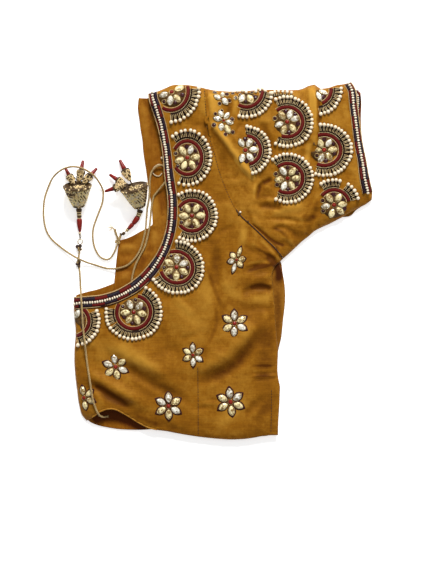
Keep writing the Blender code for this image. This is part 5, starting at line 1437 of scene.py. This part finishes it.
def makeSprig(number, row, look):
    name, cloth = f"sprig{number}", "backPanel"
    at, along, across, first = row
    pile, chance = newPile(), random.Random(name)
    own = {"name": name, "on": cloth, "at": at, "reach": (along, across), "facing": first}
    length, width, height = look["petal"]
    for k in range(6):
        angle = first + 60 * k + chance.uniform(-3, 3)
        scale, breadth = (float(reachAt(own, angle + turn, 1)) / look["size"] for turn in (0, 90))
        out = heading(angle)
        plan = onRing(own, [angle], look["petalAt"] * scale)
        if not clearOf(plan, width / 2 * breadth - 0.8, own)[0]:
            continue
        (spot,), (normal,) = onCloth(plan, cloth)
        longer, wider = look["pad"]
        padSize = ((length + longer) * scale, (width + wider) * breadth, look["padHeight"])
        putPad(pile, spot + out * 0.5, normal, out, padSize, "darkOutline")
        kind = "silverKundan" if chance.random() < 0.3 else "kundan"
        size = (length * scale, width * breadth, height)
        putStone(pile, spot + normal * 0.3, normal, out, size, kind, rim=0.3)
    (spot,), (normal,) = onCloth(np.array([at], float), cloth)
    hub = look["hub"] * across / look["size"]
    putRoundStone(pile, spot + normal * 0.5, normal, hub, 1.7, "redStone", "bezel", 0.3, 0.1)
    finishPiece(name, pile, [f"sprig_{number}"])


# work that shows where the shoulder is folded over: pearls, dark stones and the fringe's ground
foldLook = {
    "pearls": [
        (37.2, 180.7), (41.4, 180.8), (44.3, 178.1), (49.7, 175.6), (54.1, 176.8), (58.3, 177.5),
        (63, 177.3), (67.4, 176.7), (72, 176.1), (14.7, 177.3), (20.3, 177.7), (24.5, 176.8),
        (34.6, 177)],
    "darks": [(30.4, 176.9), (18.4, 174.5), (13, 170.7), (10.2, 176), (39.4, 177.5)],
    "ground": [(46.2, 172.6), (59.8, 174.1), (74.5, 172.2)], "groundSize": (3.4, 0.5),
    "bugle": (0.6, 0.6, 3.2), "pearl": 3.6, "dark": 1.8,
}


def makeFoldWork(look):
    pile, chance = newPile(), random.Random("foldWork")
    line = smoothLine(look["ground"], 1.0)
    spots, normals = onCloth(line, "nearSleeve")
    putBand(pile, spots - normals * 0.15, normals, stripSection(*look["groundSize"]), "umberFloss")
    for spot, normal in zip(*onCloth(line[::2] + [0, 0.2], "nearSleeve")):
        foot = spot + normal * 0.6 - np.array([0, 1.5, 0])
        put(pile, placed(bugle[0], foot, normal, (0, 1, 0), look["bugle"]), bugle[1], "zariBugle")
    for spot, normal in zip(*onCloth(look["pearls"], "nearSleeve")):
        size = look["pearl"] * chance.uniform(0.88, 1.05)
        putBall(pile, spot + normal * size * 0.42, size, "pearl")
    for spot, normal in zip(*onCloth(look["darks"], "nearSleeve")):
        putRoundStone(pile, spot, normal, look["dark"], 1.6, "nightStone", "oldGold", 0.25, 0.05)
    finishPiece("foldWork", pile)


def makeOrnaments():
    for own in medallions:
        makeMedallion(own, medallionLook)
    makeFoldWork(foldLook)
    print("medallions ready")
    for number, row in enumerate(sprigs, 1):
        makeSprig(number, row, sprigLook)
    for number, own in enumerate(silverSprigs, len(sprigs) + 1):
        makeSilverSprig(number, own, sprigLook)
    print("sprigs ready")


# cone tassels: profiles are (radius, distance along)
tasselLook = {
    "bell": [(3.2, 0), (5.3, 1.2), (6.5, 3.5), (9.2, 9.5), (11.5, 16), (13.7, 22.3), (14.5, 24.1),
             (14.1, 24.6), (13.0, 24.4), (11.8, 22.5), (6, 21.8), (0.8, 21.7)],
    "bellBead": 1.45, "bellBeads": (1.6, 21.8), "rests": (9.5, 9.5), "mouth": 14.9, "length": 24.5,
    "rim": (23.5, 14.4, 2.1), "rimBeads": 46, "rimLine": (21.9, 13.7, 0.55), "innerRim": (24.5, 13.4, 0.6),
    "heart": 1.7, "heartRows": (1, 6, 12, 18, 24, 30, 36), "heartAt": (22.1, 1.3), "heapBead": 2.3,
    "bud": [(0.75, 0), (0.75, 2.5), (2.5, 6.5), (4.0, 12.5), (3.9, 14.2), (2.4, 14.8), (1.8, 15.0)],
    "budBead": 1.4, "budBeads": (3.2, 12.7), "collar": (13.5, 3.6, 0.85),
    "budTip": [(1.9, 14.9), (2.4, 15.4), (2.2, 17.5), (1.85, 20.5), (1.55, 23.8), (1.35, 24.8), (0.6, 25.0)],
}
tassels = {
    "left": {"tip": (-151.7, 56), "opens": 93.0,
             "stem": [(-151.6, 55.4, 5.9), (-151.2, 41, 3.8), (-150.7, 23.7, 1.4)],
             "buds": [(-155.8, 78.4, 11.2, 118, -0.33, 0.0, 0.95), (-152.1, 79.2, 9.4, 80, -0.25, 2.0, 1.03),
                      (-148.8, 79.1, 10.9, 49, -0.3, 0.5, 1.0)],
             "dark": (-100, -8, 13.0, 20.0), "heap": (-152.0, 85.5, 8.8, 3.4, 26)},
    "right": {"tip": (-87.4, 55.4), "opens": 105.0,
              "stem": [(-87.0, 54.1, 5.6), (-88.6, 48.5, 5.2), (-92.2, 42.2, 4.6), (-99.2, 34.2, 3.6),
                       (-104.4, 29.2, 2.9), (-107.2, 26.6, 2.5)],
              "buds": [(-94.1, 77.4, 9.8, 117, -0.22, 5.2, 1.12), (-97.7, 76.2, 11.3, 146, -0.31, 2.6, 1.0),
                       (-99.8, 80.7, 16.7, 198, -0.28, 1.5, 1.0)],
              "dark": (38, 120, 3.0, 21.0), "heap": (-104.0, 79.0, 4.6, 3.6, 16)},
}
# parts of a stem: kind, where it starts and how long it is, radius at its start and its end
stemParts = {
    "left": [("bronzeBead", 0.3, 3.7, 3.2, 2.8), ("zariBead", 4, 1, 2.8, 2.8), ("bronzeBead", 5, 1.4, 2.4,
        2.4), ("zariBead", 6.4, 1, 2.7, 2.7), ("bronzeBead", 7.4, 2.7, 2.5, 2.3), ("zariBead", 10.1, 0.8,
        2.1, 2.1), ("redEnamel", 10.9, 14.6, 3, 1.2), ("zariBead", 25.6, 1.2, 1.2, 1.2), ("bronzeBead",
        26.9, 1.7, 1, 0.9)],
    "right": [("bronzeBead", 0.3, 3.6, 3.2, 2.9), ("zariBead", 3.9, 1, 2.9, 2.9), ("bronzeBead", 4.9, 1,
        2.5, 2.5), ("zariBead", 5.9, 1.1, 2.9, 2.8), ("bronzeBead", 7, 1.1, 2.4, 2.4), ("redEnamel", 8.1,
        9.2, 3, 2.3), ("redEnamel", 17.3, 7.2, 2.3, 1.7), ("bronzeBead", 24.5, 0.9, 1.7, 1.7), ("zariBead",
        25.4, 0.9, 1.8, 1.8), ("bronzeBead", 26.3, 0.9, 1.6, 1.6), ("zariBead", 27.2, 0.9, 1.6, 1.6),
        ("bronzeBead", 30, 3.2, 1.7, 1.6)],
}


def lyingAlong(start, direction):
    # a function that takes points about +Z to a start and a direction, with its first axis as high as can be
    axis = unit(np.array(direction, float))
    return lambda points: placed(np.asarray(points, float), start, (0, 0, 1), axis)


def putBeadCover(pile, profile, span, bead, carry, pick):
    radii, heights = np.array(profile).T
    z, row = span[0], 0
    while z <= span[1]:
        r = float(np.interp(z, heights, radii)) + bead * 0.12
        for local in circle(max(6, int(2 * math.pi * r / bead)), r, z, row * 0.5):
            putBall(pile, carry(local), bead * 1.04, pick(local), seedBall)
        z, row = z + bead * 0.87, row + 1


def putTurned(pile, profile, around, carry, finish, smooth=True):
    points, faces = turnedShape(profile, around)
    put(pile, carry(points), faces, finish, smooth, strand=points[:, 2])


def putCoil(pile, look, carry, finish, around=28):
    height, reach, thick = look
    points = carry(circle(around, reach, height))
    normal = unit(np.cross(points[7] - points[0], points[14] - points[0]))
    putRing(pile, points, normal, thick, finish, 8)


def putAlong(pile, line, profile, around, finish):
    # a turned form that follows a line, from profile rows of (radius, distance along the line)
    radii, at = np.array(profile).T
    _, side, top = carried(line)
    middle, side, top = (pointsAt(line, at, rows) for rows in (line, side, top))
    points = middle[:, None] + spokes(side, top, around) * radii[:, None, None]
    put(pile, points.reshape(-1, 3), ringFaces(len(profile), around), finish, strand=np.repeat(at, around))


def makeBell(side, look, chance):
    t, pile = tassels[side], newPile()
    radius, along = look["rests"]
    lean = math.atan((look["mouth"] - radius) / (look["length"] - along))
    lying = heading(t["opens"]) * math.cos(lean) + [0, 0, math.sin(lean)]
    carry = lyingAlong((*t["tip"], radius * math.cos(lean) - along * math.sin(lean) + 0.35), lying)
    putTurned(pile, look["bell"], 28, carry, "darkCore")
    # a patch of dark beads on one flank; on the right bell it paints the shade on that flank
    start, end, low, high = t["dark"]

    def pick(local):
        angle = math.degrees(math.atan2(local[1], local[0]))
        inPatch = start < angle < end and low < local[2] < high
        dark = local[2] < 3.4 or local[2] > 20.6 or inPatch
        draw = chance.random()
        twill = math.sin(math.radians(angle) * 21 + local[2] * 1.5) + chance.uniform(-0.5, 0.5)
        if dark:
            return "bronzeBead" if draw < 0.7 else "oldGold" if draw < 0.85 else "zariBead"
        if twill < -0.8:
            return "bronzeBead" if draw < 0.6 else "oldGold"
        # most plain beads on the bell are the brighter bellGold, painted light for its shaded flank
        return "seedPearl" if draw < 0.3 else "zariBead" if draw < 0.4 else "bellGold"

    putBeadCover(pile, look["bell"][:6], look["bellBeads"], look["bellBead"], carry, pick)
    height, reach, size = look["rim"]
    for local in circle(look["rimBeads"], reach, height):
        putBall(pile, carry(local), size, pick(local), seedBall)
    putCoil(pile, look["innerRim"], carry, "bronzeBead")
    putCoil(pile, look["rimLine"], carry, "zariBead")
    size, (floor, rise), rows = look["heart"], look["heartAt"], look["heartRows"]
    for row, count in enumerate(rows):
        for local in circle(count, row * size * 1.02, floor + rise * (1 - row / len(rows)), row * 0.4):
            kind = "bronzeBead" if chance.random() < 0.42 + row * 0.07 else "zariBead"
            putBall(pile, carry(local), size, kind, seedBall)
    x, y, wide, high, count = t["heap"]
    for _ in range(count):
        turn, reach = chance.uniform(0, 2 * math.pi), math.sqrt(chance.random())
        level = 1.2 + 4.0 * (1 - reach) * chance.random()
        at = (x + wide * reach * math.cos(turn), y + high * reach * math.sin(turn), level)
        size = look["heapBead"] * chance.uniform(0.8, 1.15)
        putBall(pile, at, size, "zariBead" if chance.random() < 0.5 else "bronzeBead", seedBall)
    return finishPiece(side + "Bell", pile, [side + "_tassel_bell"])


def makeBud(side, number, row, look, chance):
    x, y, z, turn, fall, thread, size = row
    pile = newPile()
    carry = lyingAlong((x, y, z), heading(turn) + [0, 0, fall])

    def grown(profile):
        return [(r * size, d * size + thread) for r, d in profile]

    body = [(0.75, 0)] + grown(look["bud"][1:])
    putTurned(pile, body, 14, carry, "darkCore")
    low, high = look["budBeads"]
    putBeadCover(pile, body, (low * size + thread, high * size + thread), look["budBead"], carry,
                 lambda local: "zariBead" if chance.random() < 0.72 else "bronzeBead")
    height, reach, thick = look["collar"]
    putCoil(pile, (height * size + thread, reach * size, thick), carry, "bronzeBead", 20)
    putTurned(pile, grown(look["budTip"]), 14, carry, "redEnamel")
    return finishPiece(f"{side}Bud{number}", pile, [f"{side}_tassel_bud_{number}"])


def makeStem(side):
    stem, line = newPile(), smoothLine(tassels[side]["stem"], 0.5)
    putTube(stem, line, 0.55, "bronzeBead")
    for finish, start, long, wide, narrow in stemParts[side]:
        belly = wide - narrow
        profile = [(wide * 0.72, start), (wide * 0.95, start + long * 0.1), (wide, start + long * 0.22),
                   (wide - belly * 0.12, start + long * 0.45), (narrow + belly * 0.5, start + long * 0.72),
                   (narrow + belly * 0.1, start + long * 0.93), (narrow * 0.6, start + long)]
        putAlong(stem, line, profile, 14, finish)
    return finishPiece(side + "Stem", stem, [side + "_tassel_stem"])


def makeTassel(side, look):
    chance = random.Random(side)
    pieces = [makeBell(side, look, chance), makeStem(side)]
    for number, row in enumerate(tassels[side]["buds"], 1):
        pieces.append(makeBud(side, number, row, look, chance))
    return pieces


def putKnot(pile, spot, size, radius, turn, finish):
    t = np.linspace(0, 2 * math.pi, 46)[:-2]
    x, y = np.sin(t) + 2 * np.sin(2 * t), np.cos(t) - 2 * np.cos(2 * t)
    c, s = math.cos(turn), math.sin(turn)
    line = np.column_stack([x * c - y * s, x * s + y * c, -1.1 * np.sin(3 * t)]) * size / 3 + spot
    line[:, 2] = np.maximum(line[:, 2], radius)
    putTwist(pile, line, radius, 2, 3.6, finish, 5)


def putFray(pile, spot, toward, length, count, finish, chance, radius):
    for _ in range(count):
        turn = math.radians(toward + chance.uniform(-24, 24))
        bend, long = chance.uniform(-0.9, 0.9), length * chance.uniform(0.5, 1.0)
        t = np.linspace(0, 1, 8)
        line = np.column_stack([
            spot[0] + np.cos(turn + bend * t) * long * t, spot[1] + np.sin(turn + bend * t) * long * t,
            np.maximum(spot[2] * (1 - t) + chance.uniform(0.2, 1.0) * np.sin(t * math.pi), radius)])
        putTube(pile, line, radius * (1.1 - 0.6 * t), finish, 4)


# strands to tie up; knots as middle, size, radius and turn; frays as middle, direction, length, count, radius
knotLooks = {
    "right": {
        "strands": [[(-115.0, 34.0, 1.8), (-113.6, 29.5, 2.5), (-111.8, 24.5, 2.8), (-111.2, 20.5, 2.5)],
                    [(-113.6, 33.2, 2.2), (-112.0, 28.0, 3.4), (-110.4, 23.5, 3.2), (-110.9, 20.3, 2.6)],
                    [(-108.0, 28.2, 2.8), (-108.9, 25.5, 3.3), (-110.0, 22.5, 3.1), (-111.0, 19.9, 2.5)]],
        "knots": [((-110.9, 20.2, 2.9), 2.5, 0.9, 0.5, "tieCord"),
                  ((-107.6, 27.6, 2.7), 1.5, 0.6, 1.7, "seamThread")],
        "frays": [((-114.6, 34.0, 2.0), 168, 11, 10, 0.24, "paleThread"),
                  ((-112.5, 32.0, 3.0), 120, 5, 6, 0.22, "tieCord")]},
    "left": {
        "strands": [],
        "knots": [((-151.9, 14.4, 2.0), 2.9, 0.95, 0.2, "seamThread"),
                  ((-151.2, 12.2, 2.4), 2.0, 0.8, 1.4, "tieCord"),
                  ((-152.2, -0.6, 2.2), 2.0, 0.85, 1.2, "tieCord"),
                  ((-152.4, -3.6, 2.0), 2.3, 0.8, 0.4, "seamThread")],
        "frays": [((-153.2, 14.8, 2.2), 160, 3.5, 9, 0.25, "umberFloss"),
                  ((-152.4, -5.0, 2.0), 235, 4.5, 9, 0.22, "seamThread")]},
}
neckLoopLook = {
    "line": [(-62.5, 99.5), (-67.8, 101.6), (-72.9, 98.1), (-74.4, 93.7), (-71.4, 90.1), (-67.2, 89.5),
             (-64.5, 92.2)],
    "radius": 0.75, "pitch": 2.6, "lift": 0.8, "pearlAt": (-64.3, 108.4), "pearl": 3.0,
}


def makeKnots():
    chance, made = random.Random("knots"), []
    for side, look in knotLooks.items():
        pile = newPile()
        for line in look["strands"]:
            putTwist(pile, smoothLine(line, 0.6), 0.85, 2, 3.2, "tieCord", 5)
        for knot in look["knots"]:
            putKnot(pile, *knot)
        for *fray, radius, finish in look["frays"]:
            putFray(pile, *fray, finish, chance, radius)
        made.append(finishPiece(side + "Knot", pile))
    return made


def makeNeckLoop(look):
    pile = newPile()
    spots, normals = onCloth(smoothLine(look["line"], 0.8), "farBackHalf")
    putTwist(pile, spots + normals * look["lift"], look["radius"], 2, look["pitch"], "paleThread", 5)
    (spot,), (normal,) = onCloth([look["pearlAt"]], "farBackHalf")
    putBall(pile, spot + normal * 1.3, look["pearl"], "pearl")
    finishPiece("neckLoop", pile)


hookLook = {
    "ringAt": (-150.6, 20.3, 1.3), "ring": 2.6, "ringWire": 0.55, "hookWire": 0.4,
    "hook": [(-150.7, 28.4, 2.7), (-149.4, 26.8, 2.7), (-149.6, 24.9, 2.5), (-150.6, 23.4, 2.2),
             (-150.4, 22.2, 1.3)],
}


def makeHook(look):
    pile = newPile()
    putRing(pile, circle(30, look["ring"]) + look["ringAt"], np.array(up), look["ringWire"], "ringWire", 8)
    putTube(pile, smoothLine(look["hook"], 0.5), look["hookWire"], "ringWire")
    return finishPiece("leftHook", pile, ["left_tassel_ring"])


def makeTassels():
    right, left = makeTassel("right", tasselLook), makeTassel("left", tasselLook)
    makeNeckLoop(neckLoopLook)
    rightKnot, leftKnot = makeKnots()
    hook = makeHook(hookLook)
    print("tassels ready")


# stitches and small sewn things: thread, its radius, length and gap of a stitch, the cloth, the line
stitchRows = [
    ("armholeStitches", "seamThread", 0.32, 1.5, 1.3, "backPanel",
     [(61.5, 7.5), (54, 14.5), (42.5, 25.5), (30.5, 37), (23.5, 43.5), (15.2, 51.5), (7.5, 64.5), (1.3, 79),
      (-4.3, 94), (-9.4, 113), (-14.8, 131), (-17.4, 149), (-18.8, 165), (-19.6, 179)]),
    ("dartStitches", "seamThread", 0.28, 2.6, 0.5, "backPanel",
     [(-26.6, -112), (-26.2, -146), (-26.2, -183)]),
    ("foldStitches", "seamThread", 0.28, 2.0, 1.0, "backPanel", [(50.9, -136), (50.7, -160), (50.3, -182)]),
]


seamLook = {
    "width": 3.0, "height": 0.42, "thread": 0.55, "threadRows": (0, 48),
    "knots": [((18.3, 51.2), 2.6, "seedPearl"), ((16.2, 48.6), 2.2, "bronzeBead"),
              ((26.2, 41.3), 2.4, "bronzeBead")],
}
armholeLine = [
    (62.5, 3.5), (55.8, 12.5), (44.3, 23.5), (32.3, 35), (25.3, 41.5), (17.3, 49), (9.3, 63), (3.3, 77.5),
    (-2.2, 92), (-7.2, 111), (-12.7, 129), (-15.2, 148), (-16.7, 164.5), (-17.6, 179)]


def makeSeam(look):
    # the sleeve's seam allowance, which bridges the two panels
    pile = newPile()
    line = smoothLine(armholeLine, 1.5)
    spots = onCloth(line, "backPanel", "nearSleeve")[0]
    left = leftOf(line) * look["width"] / 2
    for side in (-1, 1):
        beside = onCloth(line + left * side, "backPanel", "nearSleeve")[0]
        spots[:, 2] = np.maximum(spots[:, 2], beside[:, 2] - 0.15)
    level = np.convolve(np.pad(spots[:, 2], 3, "edge"), np.ones(7) / 7, "valid")
    spots[:, 2] = np.maximum(level, spots[:, 2] - 0.2)
    flat = np.tile(up, (len(line), 1))
    putBand(pile, spots - flat * 0.25, flat, domeSection(look["width"], look["height"]), "ochreSilk")
    low = slice(*look["threadRows"])
    putTube(pile, spots[low] + flat[low] * 0.5, look["thread"], "seamThread")
    for (x, y), size, finish in look["knots"]:
        (spot,), (normal,) = onCloth([(x, y)], "backPanel", "nearSleeve")
        putBall(pile, spot + normal * 0.7, size, finish, smallBall)
    finishPiece("armholeSeam", pile)


hemLook = {
    "from": (-136.5, -165.1), "to": (-69.3, -177.2), "step": 1.2, "inset": 0.5, "lift": 0.35, "radius": 0.85,
}


def makeRolledHem(look):
    pile = newPile()
    line = stretchOf("backPanel", look["from"], look["to"], look["step"])
    line = np.column_stack([line[:, :2] + leftOf(line) * look["inset"], line[:, 2] + look["lift"]])
    # lighter silk along the edge: a painted highlight on the turned hem
    putTube(pile, line, look["radius"], "rolledHem", 8)
    finishPiece("rolledHem", pile)


def makeStitches():
    for name, finish, radius, long, gap, cloth, points in stitchRows:
        line = smoothLine(points, 0.5)
        pile, chance = newPile(), random.Random(name)
        at = 0.0
        while at + long < lengthAlong(line)[-1]:
            ends = at + np.array([0, 0.5, 1.0]) * long * chance.uniform(0.8, 1.1)
            spots, normals = onCloth(pointsAt(line, ends), cloth)
            spots += normals * np.array([[-0.05], [0.22], [-0.05]])
            putTube(pile, spots, radius, finish, 4)
            at += long + gap
        finishPiece(name, pile)


makeBorders()
print("borders ready")
makeOrnaments()
makeTassels()
makeSeam(seamLook)
makeRolledHem(hemLook)
makeStitches()
print("stitches ready")
